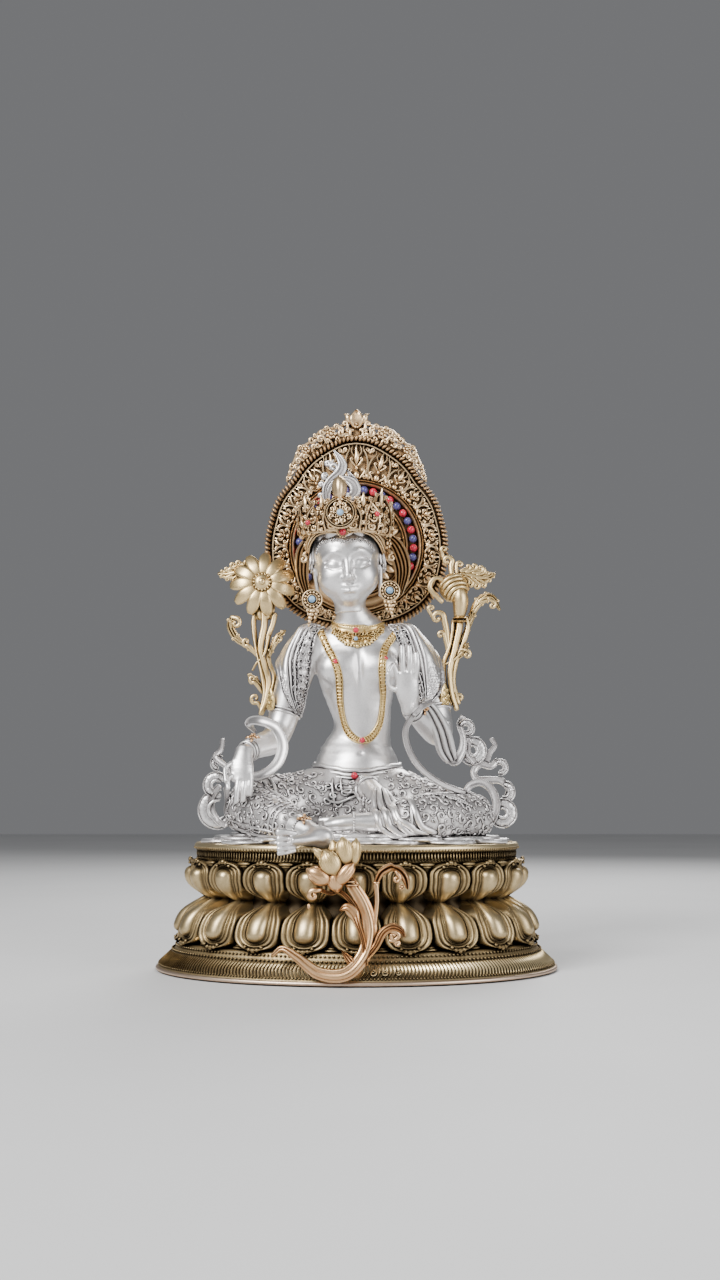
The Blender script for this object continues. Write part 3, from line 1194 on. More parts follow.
def halo_plate():
    """The plate behind everything, a slab with soft edges and a shallow groove round its back."""
    rings = []
    line = halo_outline(PLATE_STEPS, 0.6)
    measured = np.abs(np.degrees(np.arctan2(line[:, 0], line[:, 1] - HALO_CENTRE_Z)))
    reach = np.maximum(np.linalg.norm(line - [0, HALO_CENTRE_Z], axis=1),
                       np.interp(measured, *np.array(CREST).T))
    line = [0, HALO_CENTRE_Z] + unit(line - [0, HALO_CENTRE_Z]) * reach[:, None]
    for share, y in ((0.2, 44), (0.5, 44), (0.8, 44.2), (0.84, 43.6), (0.88, 44.2), (0.95, 44),
                     (0.985, 43.4), (0.99, 42.4), (0.985, 41.4), (0.95, 40.9), (0.9, 40.8), (0.6, 40.8),
                     (0.2, 40.8)):
        ring = [0, HALO_CENTRE_Z] + (line - [0, HALO_CENTRE_Z]) * share
        rings.append(np.column_stack([ring[:, 0], np.full(PLATE_STEPS, y), ring[:, 1]]))
    return skin(np.array(rings)[:, ::-1])


def circle(radius, y):
    """A circle about the halo's centre."""
    a = np.arange(CIRCLE_STEPS) / CIRCLE_STEPS * TURN
    return np.column_stack([radius * np.cos(a), np.full(CIRCLE_STEPS, y),
                            HALO_CENTRE_Z + radius * np.sin(a)])


def halo_line(inward, y, half_width):
    """A thin rim that runs a little inside the rope."""
    line = halo_outline(LINE_STEPS, -inward)
    return loop(np.column_stack([line[:, 0], np.full(LINE_STEPS, y), line[:, 1]]), half_width, 1.0, SLIM)


def halo_motifs():
    """Flames round the ring of stones, with two pairs of curls and a bud between each two."""
    fine = halo_outline(720)
    bearing = np.degrees(np.arctan2(fine[:, 0], fine[:, 1] - HALO_CENTRE_Z))
    reach = np.linalg.norm(fine - [0, HALO_CENTRE_Z], axis=1)
    order = np.argsort(bearing)
    parts = []
    for k in range(-10, 12):
        degrees = k * MOTIF_STEP
        if abs(degrees) > LAST_MOTIF:
            continue
        edge = np.interp(degrees, bearing[order], reach[order])
        height = edge - MOTIF_START - 3.4
        motif = flame(0.5 * (RING_OUTER + 3 + height * 0.5) * math.radians(MOTIF_STEP), height)
        parts.append(on_halo(motif if k >= 0 else mirrored(motif), degrees, MOTIF_START, HALO_FRONT + 0.3))
        between = degrees + MOTIF_STEP / 2
        edge = np.interp(between, bearing[order], reach[order])
        for way in (-1, 1):
            for inward, size, start in ((4.6, 1.5, 30), (height * 0.96, 1.3, 210)):
                one = curl((0, -1.0, 0), size, start, 0.95, 0.42 * size, steps=9,
                           lead=[[-1.2 * size, -0.6, -size, 0.3 * size]])
                shift = math.degrees(1.7 / edge)
                parts.append(on_halo(handed(one, way), between + way * shift, edge - inward - 1.4,
                                     HALO_FRONT + 0.3))
        parts.append(on_halo(ball((0, -0.6, 0), (1.0, 1.2, 2.0), 8, 6), between, RING_OUTER + 5, HALO_FRONT))
    return parts


def halo_back():
    """The post that holds the halo, the rims and leaves of its back, and the boss in their middle."""
    y = HALO_BACK
    parts = [sweep([[0, y + 0.5, 210, 8, 2.4], [0, y, 170, 8.4, 2.8], [0, y - 1, 100, 9, 3],
                    [0, y - 2, 84, 12, 4], [0, y - 2, 75.4, 15, 5]], 24, BAND, BACK, cap=0.1)]
    for inward, half_width in ((3.4, 1.1), (6.2, 0.5)):
        parts.append(halo_line(inward, y - 0.4, half_width))
    for radius, half_width in ((31, 0.8), (28.6, 0.4)):
        parts.append(loop(circle(radius, y - 0.3), half_width, 0.9, SLIM))
    leaf = sweep([[0, 0, 8, 0.8, 0.6], [0, 0, 15, 2.8, 0.9], [0, 0, 23, 2.2, 0.8], [0, 0, 27, 0.3, 0.5]],
                 10, RIDGED)
    parts += [on_halo(leaf, k * 360 / BACK_LEAVES, 0, y - 0.2) for k in range(BACK_LEAVES)]
    parts.append(ball((0, y - 0.4, HALO_CENTRE_Z), (6.4, 2.0, 6.4), 24, 8))
    return parts


def halo():
    parts = [halo_plate(), rope_border(), crest()]
    for radius, half_width in ((RING_INNER, 0.9), (RING_OUTER, 1.1), (RING_OUTER + 1.7, 0.5),
                               (RING_INNER - 1.5, 0.5)):
        parts.append(loop(circle(radius, HALO_FRONT - 0.8), half_width, 1.9))
    parts.append(halo_line(3.2, HALO_FRONT - 0.2, 0.6))
    parts += halo_motifs()
    parts.append(loop(circle(RING_INNER - 11, HALO_FRONT + 0.2), 0.7, 0.9, SLIM))
    parts += halo_back()
    ray = sweep([[0, -0.6, 0, 0.7, 0.6], [0, -0.9, 3, 1.9, 0.8], [0, -0.6, 6.4, 1.2, 0.6],
                 [0, -0.4, 8, 0.2, 0.4]], 8, SLIM)
    parts += [on_halo(ray, k * 360 / RAYS, RING_INNER - 10.5, HALO_FRONT + 0.6) for k in range(RAYS)]
    piece("halo_metal", join(*parts), GILT, ["halo"], 60)
    for name, first, material in (("coral", 0, CORAL), ("lapis", 1, LAPIS)):
        turns = BEAD_FIRST - BEAD_STEP * np.arange(first, BEADS, 2)
        at = [polar_point(a, BEAD_RING_RADIUS, HALO_FRONT - 0.3 - BEAD_RADIUS * 0.86) for a in turns]
        nodes = [f"halo_bead_{k + 1:02d}" for k in range(first, BEADS, 2)]
        piece("halo_beads_" + name, copies(bead(BEAD_RADIUS * 0.97, 14, 10), at), material, nodes)


halo()


# Cloth and scrolls laid on the clay
RIM_DEPTH = 0.5  # how far under the clay's surface a cloth's rim ends


def patch(clay, guides, rows, columns, lift, relief):
    """Cloth on the clay between guide lines, given from one edge to the other, with a turned-in rim."""
    lines = np.stack([smooth(line, rows) for line in guides])
    across = np.stack([smooth(lines[:, k], columns) for k in range(rows)])
    grid, normal = clay.settle(across.reshape(-1, 3), lift, 6)
    u = np.tile(np.linspace(0, 1, columns), rows)
    v = np.repeat(np.linspace(0, 1, rows), columns)
    grid = grid + normal * relief(u, v, grid)[:, None]
    shape = (rows, columns, 3)
    top, normal = grid.reshape(shape), normal.reshape(shape)
    under = top - normal * (lift + RIM_DEPTH)
    path = [(0, j) for j in range(columns)] + [(i, columns - 1) for i in range(1, rows)]
    path += [(rows - 1, j) for j in range(columns - 2, -1, -1)] + [(i, 0) for i in range(rows - 2, 0, -1)]
    i, j = np.array(path).T
    wall = np.stack([top[i, j], under[i, j]])
    points, quads, caps = sheet(top)
    count = len(path)
    k = np.arange(count)
    n = (k + 1) % count
    walls = np.stack([k, n, count + n, count + k], 1)
    facing_out = np.sum(np.cross(top[1, 0] - top[0, 0], top[0, 1] - top[0, 0]) * normal[0, 0]) < 0
    body = (points, quads, caps)
    skirt = (wall.reshape(-1, 3), walls, caps)
    return join(body if facing_out else flipped(body), flipped(skirt) if facing_out else skirt)


def whorls(clay, places, normals, size, seed, half_width=0.42, height=0.55):
    """Small scrolls with tails, laid flat on the clay."""
    random = np.random.default_rng(seed)
    side = unit(np.cross(normals, np.where(np.abs(normals[:, 2:3]) > 0.9, FRONT, UP)))
    rise = np.cross(normals, side)
    t = np.linspace(0, 1, 12)
    paths = []
    for p, u, v in zip(places, side, rise):
        start = random.random() * TURN
        way = 1 if random.random() < 0.5 else -1
        turn = start + way * (1.15 * TURN) * np.clip(t - 0.22, 0, 1) / 0.78
        out = size * np.where(t < 0.22, 1 + (0.22 - t) * 3.2, 1 - 0.84 * (t - 0.22) / 0.78)
        paths.append(p + out[:, None] * (np.cos(turn)[:, None] * u + np.sin(turn)[:, None] * v))
    swell = half_width * (0.6 + 0.75 * np.sin(math.pi * t) ** 1.5)
    return strips(clay, paths, swell, height, taper=0.4)


# The crown: a beaded band arched over the brow, nine pierced leaf plates, ribbons at the temples
CROWN_AT = np.array([-6.2, 1.0, 243.0])
CROWN_DEPTH = 1.08  # front-to-back reach as a share of the sideways one
CROWN_LEAN = 0.14  # how far the plates lean out for each unit of height
# Each plate's degrees from the front, and its height
CROWN_PLATES = [(-116, 12), (-86, 14), (-58, 17), (-30, 15), (-4, 16), (22, 16), (48, 19), (76, 15),
                (104, 12)]
# How far the line above the brow rises or sinks, by degrees from the front
BROW_SAG = [(-180, -3), (-110, -5), (-88, -4.4), (-70, -1), (-50, 2.4), (-30, 3.2), (-14, 2.4), (-4, 1),
            (6, 2.4), (22, 3.4), (42, 2.4), (62, -1), (80, -4.4), (100, -5), (180, -3)]


def crown_point(degrees, reach, rise):
    a = math.radians(degrees)
    return CROWN_AT + np.array([reach * math.sin(a), -CROWN_DEPTH * reach * math.cos(a), rise])


def crown_axes(degrees):
    a = math.radians(degrees)
    outward = unit(np.array([math.sin(a), -math.cos(a), 0]))
    side = np.array([math.cos(a), math.sin(a), 0])
    rise = unit(UP + CROWN_LEAN * outward)
    return side, np.cross(rise, side), rise


def crown_plate(height):
    """A leaf plate filled with scrolls, drawn upright facing -Y."""
    h, w = height, 10.6
    parts = [sweep([[0, 0.7, -2, 0.86 * w, 0.7], [0, 0.7, 0.3 * h, 0.96 * w, 0.8],
                    [0, 0.7, 0.6 * h, 0.8 * w, 0.7], [0, 0.7, 0.86 * h, 0.4 * w, 0.6],
                    [0, 0.7, h, 0.08 * w, 0.5]], 14, SLIM)]
    for way in (-1, 1):
        parts.append(sweep([[way * 0.9 * w, -0.5, -1, 0.5, 0.9], [way * 1.0 * w, -0.7, 0.3 * h, 0.6, 1.0],
                            [way * 0.84 * w, -0.7, 0.6 * h, 0.6, 1.0],
                            [way * 0.42 * w, -0.6, 0.9 * h, 0.5, 0.8], [0, -0.5, 1.08 * h, 0.3, 0.6]],
                           14, SLIM))
        for x, z, size, start, spin in (
            (0.62, 0.06, 1.9, 230, 1), (0.24, 0.2, 1.9, 40, -1), (0.7, 0.34, 2.0, 210, 1),
            (0.26, 0.46, 1.8, 30, -1), (0.6, 0.62, 1.7, 190, 1), (0.2, 0.74, 1.5, 40, -1),
            (0.14, -0.02, 1.3, 20, -1), (1.06, 0.5, 1.6, 150, 1), (0.86, 0.86, 1.5, 150, 1),
            (0.42, 1.0, 1.3, 150, 1), (1.08, 0.16, 1.4, 150, 1),
        ):
            one = curl((x * w, -1.1, z * h), size, start, spin * 0.95, 0.66, steps=9,
                       lead=[[(x - 0.1) * w, -0.6, (z - 0.1) * h, 0.5]])
            parts.append(handed(one, way))
    parts.append(sweep([[0, -1, 0.7 * h, 0.5, 0.8], [0, -1.5, 0.86 * h, 1.5, 1.1],
                        [0, -1.2, 1.04 * h, 1.0, 0.9], [0, -0.8, 1.22 * h, 0.2, 0.5]], 10, SLIM))
    return join(*parts)


def ring_of(radius, count):
    """Points on a circle facing -Y."""
    a = np.arange(count) / count * TURN
    return np.column_stack([np.cos(a), np.zeros(count), np.sin(a)]) * radius


def bezel(radius):
    """A ring of small grains round a stone, facing -Y."""
    grains = copies(bead(0.5, 6, 4), ring_of(radius + 0.75, max(8, int(radius * 6))))
    return join(loop(ring_of(radius + 0.1, 20), 0.32, 0.6, SLIM), grains)


def medallion(radius):
    """A round dish of filigree with two rims and a ring of leaves, facing -Y."""
    parts = [ball((0, 1.4, 0), (radius, 0.9, radius), 40, 6)]
    parts.append(loop(ring_of(radius, 48), 0.5, 1.0))
    parts.append(loop(ring_of(radius * 0.86, 48), 0.32, 0.8, SLIM))
    for k in range(8):
        a = TURN * (k + 0.5) / 8
        middle = np.array([math.cos(a), 0, math.sin(a)]) * radius * 0.58
        one = curl((0, -0.6, 0), 0.2 * radius, 250, 1.0 if k % 2 else -1.0, 0.55, steps=11)
        parts.append((one[0] + middle, one[1], one[2]))
        parts.append(ball((0.4 * radius * math.cos(a + 0.39), -0.5, 0.4 * radius * math.sin(a + 0.39)),
                          (0.75,) * 3, 7, 5))
    return join(*parts)


def facing(face):
    """The side, deep and rise directions of something that faces one way and stands upright."""
    face = unit(np.asarray(face, float))
    side, rise = plane_of(face)
    return side, -face, unit(rise)


def pleated(stations, count, section_depth=0.5):
    """A ribbon of rounded pleats side by side."""
    across = np.linspace(-1, 1, 4 * count + 1)
    front = np.abs(np.sin(np.linspace(0, count * math.pi, len(across)))) * 1.2 + 0.2
    outline = np.vstack([np.column_stack([across[::-1], front[::-1]]),
                         [[-0.9, -section_depth], [0.9, -section_depth]]])
    return sweep(stations, 22, outline)


def brow_line(rise, out, count=150):
    """The arched line above the brow, round the head."""
    degrees = np.arange(count) / count * 360 - 180
    sag = smooth_sag(degrees)
    return np.array([crown_point(a, 20.6 + out, rise + drop) for a, drop in zip(degrees, sag)])


def smooth_sag(degrees):
    fine = smooth([(a, b, 0) for a, b in BROW_SAG], 200)
    return np.interp(degrees, fine[:, 0], fine[:, 1])


def crown():
    parts = []
    angles = np.arange(120) * 3.0
    sag = smooth_sag((angles + 180) % 360 - 180)
    ring = np.array([crown_point(a, 1, 0) - CROWN_AT for a in angles])
    rings = []
    for reach, rise, share in ((17, 8, 0), (19.4, 2.4, 0.7), (20.4, -0.6, 1), (21.2, 0.6, 1),
                               (21.8, 5.5, 0.8), (22.2, 10, 0), (22.0, 12, 0), (20, 12.4, 0), (17, 12, 0)):
        line = CROWN_AT + ring * [reach, reach, 0]
        line[:, 2] += rise + share * sag
        rings.append(line[::-1])
    parts.append(skin(np.array(rings)))
    for rise, out, radius, count in ((0.9, 1.2, 0.78, 116), (5.2, 1.5, 0.6, 130)):
        parts.append(copies(bead(radius, 7, 5), brow_line(rise, out, count)))
    for rise, out, thick in ((-0.4, 0.6, 0.45), (2.9, 1.7, 0.85), (4.1, 1.4, 0.4)):
        parts.append(loop(brow_line(rise, out)[::-1], thick, thick, ROUND, UP))
    for k in range(40):
        a = k * 9.0 + 3
        side, deep, rise = crown_axes(a)
        size = 1.7 if k % 2 else 1.4
        one = curl((0, -0.6, 0), size, 200, 1.0 if k % 2 else -1.0, 0.6, steps=11)
        parts.append(place(one, crown_point(a, 22.4, 8.6 + (k % 2) * 1.4), side, deep, rise))
    for degrees, height in CROWN_PLATES:
        side, deep, rise = crown_axes(degrees)
        parts.append(place(crown_plate(height), crown_point(degrees, 23.4, 5), side, deep, rise))
    parts.append(place(medallion(8.6), (-9, -29.6, 254.6), *facing((0, -1, 0.12))))
    bud = [[-9.2, -28.4, 259.6, 1.7], [-9.2, -28.2, 262.6, 2.0], [-9.3, -27.8, 264.4, 3.2],
           [-9.4, -27.2, 268.4, 4.2], [-9.5, -26.6, 272.8, 3.6], [-9.6, -26, 275.2, 1.4]]
    parts.append(sweep(bud, 22, fluted_section(24, 4, 0.16)))
    parts.append(ball((-9.2, -28.4, 262), (2.8, 2.6, 0.7), 14, 5))
    for at, radius, face in (
        ((-9, -30.6, 254.6), 2.0, (0, -1, 0.1)), ((-7.6, -26.0, 244.6), 2.0, (0, -1, 0)),
        ((-27.2, -18.2, 251.4), 1.6, (-0.8, -1, 0)), ((11.6, -21.0, 255.6), 1.6, (0.7, -1, 0)),
    ):
        parts.append(place(bezel(radius), at, *facing(face)))
    right = [[-26.4, 6, 247, 2.4, 1.2], [-30.6, 10, 240, 4.6, 1.3], [-31.8, 14, 228, 3.8, 1.3],
             [-28.6, 16, 215, 1.8, 1.0]]
    left = [[15.4, 7, 250, 2.4, 1.2], [22.6, 11, 243, 5.2, 1.4], [26.8, 14, 231, 5, 1.4],
            [25, 16, 217, 2.4, 1.1]]
    parts += [pleated(right, 4), pleated(left, 5)]
    for x, z, way in ((-26.6, 243, -1), (16.4, 244, 1)):
        parts.append(place(rosette(3.8, 8), (x, 4, z), *facing((way * 0.5, -1, 0))))
        parts.append(curl((x + way * 4, 3, z - 8), 2.6, 90, way * 0.9, 1.1, steps=14,
                          lead=[[x, 4, z - 2, 1.2], [x + way * 3, 3, z - 5, 1.2]]))
    piece("crown_metal", join(*parts), GILT, ["crown"], 60)


STONES = [
    ("crown_coral_brow", (-7.6, -26.8, 244.6), 1.9), ("crown_turquoise", (-9, -31, 254.6), 1.9),
    ("crown_coral_right", (-27.2, -19, 251.4), 1.5), ("crown_coral_left", (11.6, -21.8, 255.6), 1.5),
    ("collar_coral", (-0.4, -10.3, 192.4), 1.7), ("collar_turquoise", (-0.4, -10.7, 187.6), 1.2),
    ("chain_coral_right", (-12, -11.5, 174.6), 1.4), ("chain_coral_left", (16.6, -9.6, 176.4), 1.3),
    ("chain_coral_low", (3.2, -8.6, 130.2), 1.7), ("girdle_coral", (-1.2, -14.8, 110), 2.0),
    ("earring_right_turquoise", (-25.2, -9.8, 210), 2.0), ("earring_left_turquoise", (18.9, -9.8, 215), 2.0),
]


def stones():
    for node, at, radius in STONES:
        material, slot = (CORAL, "coral") if "coral" in node else (TURQUOISE, "turquoise")
        piece("stone_" + node, ball(at, [radius * 0.98] * 3, 16, 12), material, [node])


def topknot():
    """Hair gathered into a tall flame with curling ends."""
    parts = [
        sweep([[-6.4, 2, 247, 20, 20.6], [-6.6, 2, 253, 18.6, 19.2], [-7, 2, 257.4, 15.4, 15.8],
               [-8, 2, 262, 10.4, 10.4], [-9.2, 1, 268, 6, 6], [-9.4, 1, 273, 3.4, 3.4]],
              24, fluted_section(48, 12, 0.1)),
        sweep([[-16, 0, 262, 1.8, 2], [-17.4, -0.6, 269, 1.9, 2], [-17.2, -1, 275, 1.9, 2],
               [-14.2, -1, 279.4, 2.0, 2.2], [-9.6, -1, 283.4, 2.4, 2.2], [-8.0, -1, 288, 2.2, 2.0],
               [-10, -1, 292.4, 1.4, 1.4], [-13, -1, 296.4, 0.3, 0.5]],
              44, RIDGED * 1.25),
        sweep([[-16.4, -1.6, 268, 0.8, 1.0], [-15.6, -2, 273.6, 1.0, 1.2], [-12.4, -2, 278, 1.2, 1.4],
               [-6.4, -2, 279.6, 1.7, 1.6], [-1.8, -2, 277, 2.5, 2.0], [-0.6, -2, 272.6, 2.6, 2.2],
               [-3.4, -2, 269.4, 1.9, 1.8], [-5.6, -1.6, 271.4, 0.7, 1.0]],
              44, RIDGED * 1.25),
        sweep([[0.4, -0.6, 273, 1.0, 1.4], [-0.6, -0.8, 277.6, 1.6, 1.6], [-3.2, -0.8, 281.4, 1.3, 1.4],
               [-5.6, -0.8, 286, 0.3, 0.5]], 20, RIDGED * 1.25),
        curl((-13.4, -1.4, 286.4), 3.0, 300, 0.95, 1.4, lead=[[-11, -1, 281, 1.0]], steps=20),
        curl((-16.8, -1, 288.6), 1.9, -60, 0.9, 1.4, lead=[[-13.6, -1, 290.8, 0.8]], steps=16),
        curl((-17.8, -1, 282), 1.7, 250, -0.9, 1.4, lead=[[-15, -1, 279, 0.9]], steps=16),
        curl((-20.2, -1, 276.6), 1.8, -30, 0.9, 1.4, lead=[[-18, -1, 271, 1.0]], steps=16),
        curl((-20.6, -0.6, 270.4), 1.7, -30, 0.9, 1.4, lead=[[-17.6, -0.6, 265, 1.0]], steps=16),
        curl((1.6, 0, 268.6), 1.9, 200, -0.9, 1.4, lead=[[-3, 0, 265, 1.0]], steps=16),
    ]
    piece("figure_topknot", join(*parts), SILVER_CLOTH)


def hair():
    """Strands gathered from the nape and temples up to the knot, and small curls along the brow."""
    paths = []
    for k in range(37):
        degrees = -96 + 192 * k / 36
        turn = math.radians(degrees)
        low = 214 + 18 * (abs(degrees) / 96) ** 1.6
        t = np.linspace(0, 1, 16)[:, None]
        z = low + (255 - low) * t
        sway = turn + 0.05 * np.sin(9 * t + 2.1 * k)
        reach = 22 - 8 * t**2
        paths.append(np.hstack([-5.6 + reach * np.sin(sway), 3 + reach * np.cos(sway), z]))
    strands = strips(HEAD, paths, 1.75, 1.5, ROUND, lift=0.1, taper=0.35)
    fine = strips(HEAD, np.array(paths) + [0.35, 0.1, 0], 0.5, 1.2, lift=1.2, taper=0.35)
    brow = []
    for k in range(25):
        degrees = -66 + 5.1 * k
        a = math.radians(degrees)
        z = 241.6 + np.interp(degrees, [-66, -50, -30, -4, 22, 42, 58], [-5, 0, 1.4, 0, 1.6, 0, -4.6])
        brow.append((-6.2 + 20 * math.sin(a), 1 - 21 * math.cos(a), z))
    places, normals = HEAD.settle(np.array(brow), 0.1)
    curls = whorls(HEAD, places, normals, 1.05, 3, 0.36, 0.6)
    piece("figure_hair", join(strands, fine, curls), SILVER_CLOTH)


# The lotuses at the shoulders and at the right foot
def foliage(stations, lobes=5, grow=1.0):
    """A leaf whose edges break into curled lobes, with a furrowed blade and a midrib."""
    rows = smooth(stations, 26)
    parts = [sweep(rows, 26, RIDGED, ready=True)]
    _, wide, deep = frames(rows[:, :3], FRONT)
    for k in np.linspace(4, 22, lobes).astype(int):
        for way in (-1, 1):
            edge = rows[k, :3] + wide[k] * way * rows[k, 3] * 0.9 + deep[k] * rows[k, 4] * 0.7
            root = rows[k - 4, :3] + wide[k] * way * rows[k, 3] * 0.2 + deep[k] * rows[k, 4] * 0.8
            back = -wide[k] * way
            size = grow * (0.3 * rows[k, 3] + 0.5)
            start = math.degrees(math.atan2(back[2], back[0]))
            parts.append(curl(edge, size, start, 0.85 * way, 0.42 * size, lead=[[*root, 0.5 * size]],
                              steps=12))
    spine = np.column_stack([rows[:, :3] + deep * rows[:, 4:5] * 0.9, 0.16 * rows[:, 3] + 0.2,
                             np.full(26, 0.6)])
    parts.append(sweep(spine, 26, SLIM, ready=True))
    return join(*parts)


def stems(lines, half, heights, depths):
    """Fluted stems side by side, from the top down as (x, z, how far in front), with depths by height."""
    section = fluted_section(15, 3, 0.36)
    parts = []
    for line, size in zip(lines, half):
        shares = np.linspace(1, 0.8, len(line))
        rows = [[x, np.interp(z, heights, depths) - lean, z, size * share] for (x, z, lean),
                share in zip(line, shares)]
        parts.append(sweep(rows, 40, section))
    return parts


PETAL_ROOT = 2.4  # distance from the flower's middle where a petal starts


def petal(angle, length, half_width, bend, rise):
    """One petal of an open flower facing -Y, at an angle from +X."""
    c, s = math.cos(angle), math.sin(angle)
    share = np.linspace(0, 1, 9)
    run = PETAL_ROOT + (length - PETAL_ROOT) * share
    width = half_width * np.array([0.4, 0.52, 0.7, 0.88, 1.0, 1.04, 1.0, 0.86, 0.5])
    depth = np.array([0.7, 0.8, 0.9, 1, 1.1, 1.1, 1, 0.8, 0.5])
    deep = -1.2 - rise * np.sin(share * math.pi) + bend * share**2
    return sweep(np.column_stack([c * run, deep, s * run, width, depth]), 9, PETAL, ready=True)


OPEN_AT = np.array([-55.0, 15.0, 222.8])
OPEN_STEMS = [
    [(-59.6, 205, 0), (-60.2, 198, 0.4), (-58.2, 184, 1), (-54.8, 169, 1.6), (-53.4, 157.6, 1.4),
     (-55.5, 147.4, 1)],
    [(-54.2, 207, 1), (-54.1, 198, 1.6), (-56, 185.6, 2), (-54.1, 175.8, 2), (-51.3, 164.6, 1),
     (-52.7, 153.4, 1), (-55.4, 146.6, 1)],
    [(-48, 205, 0), (-49.2, 199, 0.2), (-52, 189.8, 0.6), (-51.3, 177.2, 0.6), (-48.2, 168.8, 0),
     (-48.8, 161.8, 0), (-53, 149.6, 0.4)],
    [(-51, 192, 2), (-53.8, 181, 3), (-58.2, 176, 2.2), (-60.6, 172, 1)],
]
OPEN_HALF = [1.7, 2.2, 1.7, 0.8]
OPEN_LEAF = [[-57, 17.6, 230, 3.2, 1.4], [-63, 18.6, 230.6, 5.4, 1.6], [-70, 19.2, 230, 5.6, 1.6],
             [-76.6, 19.6, 229, 3.0, 1.3], [-81, 19.8, 229.4, 0.9, 1.0]]
OPEN_FOLIAGE = [
    [[-58, 14, 181, 0.9, 1.0], [-64.6, 13.4, 186.6, 1.5, 1.2], [-70, 13.4, 190.6, 2.0, 1.3],
     [-73.6, 13.6, 197.6, 2.2, 1.4], [-72.6, 13.8, 203, 1.4, 1.0]],
    [[-51, 13, 180, 0.9, 1.0], [-48.6, 13, 186, 1.6, 1.2], [-45.6, 13, 191.4, 1.9, 1.2],
     [-41.6, 12.6, 195, 0.7, 0.8]],
    [[-54.6, 12, 162, 0.8, 0.9], [-58.6, 11.4, 166.4, 1.4, 1.1], [-63, 11, 169.4, 0.7, 0.7]],
]
OPEN_CURLS = [
    ((-70.6, 12.6, 199.4), 2.9, 60, -0.8, 1.3, [[-73, 13.4, 203, 1.2]]),
    ((-64.2, 12.4, 188.4), 2.8, -60, -0.9, 1.2, [[-58, 13, 181, 1.3]]),
    ((-45, 12.2, 190), 2.3, 190, -0.9, 1.0, [[-49, 12.4, 184, 1.1]]),
    ((-60.2, 10.4, 166.6), 2.6, -60, -0.9, 1.1, [[-54.6, 11, 159, 1.2]]),
    ((-58.8, 10.4, 155.4), 3.3, -60, -0.9, 1.2, [[-54.4, 10.4, 148, 1.3]]),
]
CLOSED_STEMS = [
    [(57, 201, 0), (55, 187, 1), (50.8, 175.8, 1.6), (51.5, 161.8, 1.4), (55, 152, 1)],
    [(60, 201, 1), (59.9, 196.8, 1.6), (57.1, 184.2, 2), (54.3, 171.6, 2), (55, 159, 1.6), (57.8, 149.2, 1)],
    [(64, 203, 0), (65, 196.8, 0.2), (62, 187, 0.6), (57.8, 175.8, 0.8), (56.4, 164.6, 0),
     (59.2, 152.6, 0.6)],
    [(61.4, 182.4, 2), (56.4, 177.6, 3), (51.6, 175, 2.4)],
]
CLOSED_HALF = [1.8, 2.2, 1.7, 0.8]
CLOSED_LEAVES = [
    [[61, 19, 229, 3.2, 1.5], [67, 19.8, 228.4, 5.8, 1.6], [73, 20, 227, 5.6, 1.5],
     [78, 20, 227.6, 2.2, 1.3], [81.4, 20, 229.4, 0.8, 1.0]],
    [[60, 15, 188, 1.3, 1.2], [65.6, 16.4, 198, 1.5, 1.3], [69, 17.6, 208, 2.2, 1.5],
     [73.6, 18, 214, 2.8, 1.6], [79.6, 18, 214.6, 2.4, 1.5], [84, 18, 208, 0.7, 0.8]],
    [[57, 12.6, 178, 0.8, 0.9], [61.6, 13, 181.6, 1.5, 1.1], [65, 13, 187.4, 0.7, 0.8]],
]
CLOSED_CURLS = [
    ((47.2, 13, 202.4), 4.3, -20, 0.95, 1.7, [[53.4, 13, 184, 1.5], [52.6, 13, 194, 1.6]]),
    ((43.8, 13.4, 208), 2.0, 200, -0.8, 1.0, [[44.6, 13.4, 203, 1.0]]),
    ((49, 12.4, 192.4), 2.5, -20, 0.9, 1.1, [[54, 12.6, 181, 1.2]]),
    ((48.4, 14, 222.4), 6.2, 215, -0.62, 1.5, [[50, 13.6, 212, 1.3]]),
    ((53.2, 19, 236.6), 3.6, -50, 0.95, 1.6, [[56, 17.4, 228, 1.6]]),
    ((60.8, 19, 234.4), 2.3, 200, -0.9, 1.1, [[59, 18, 228, 1.2]]),
    ((64.2, 12, 181), 2.5, 90, -0.9, 1.1, [[60.4, 12.6, 184, 1.0]]),
    ((79.4, 16.6, 210.4), 2.2, 70, -0.9, 1.0, [[77, 17, 214.6, 1.2]]),
    ((60, 9.6, 155.4), 3.3, 240, -0.8, 1.4, [[55.6, 10, 162, 1.4]]),
    ((52.6, 34.6, 246.4), 2.4, 240, -0.9, 1.0, [[52, 34.6, 240.6, 1.2]]),
]
BULB = np.array([57, 17, 220.6])
BULB_RADII = np.array([8.6, 6.4, 8.6])


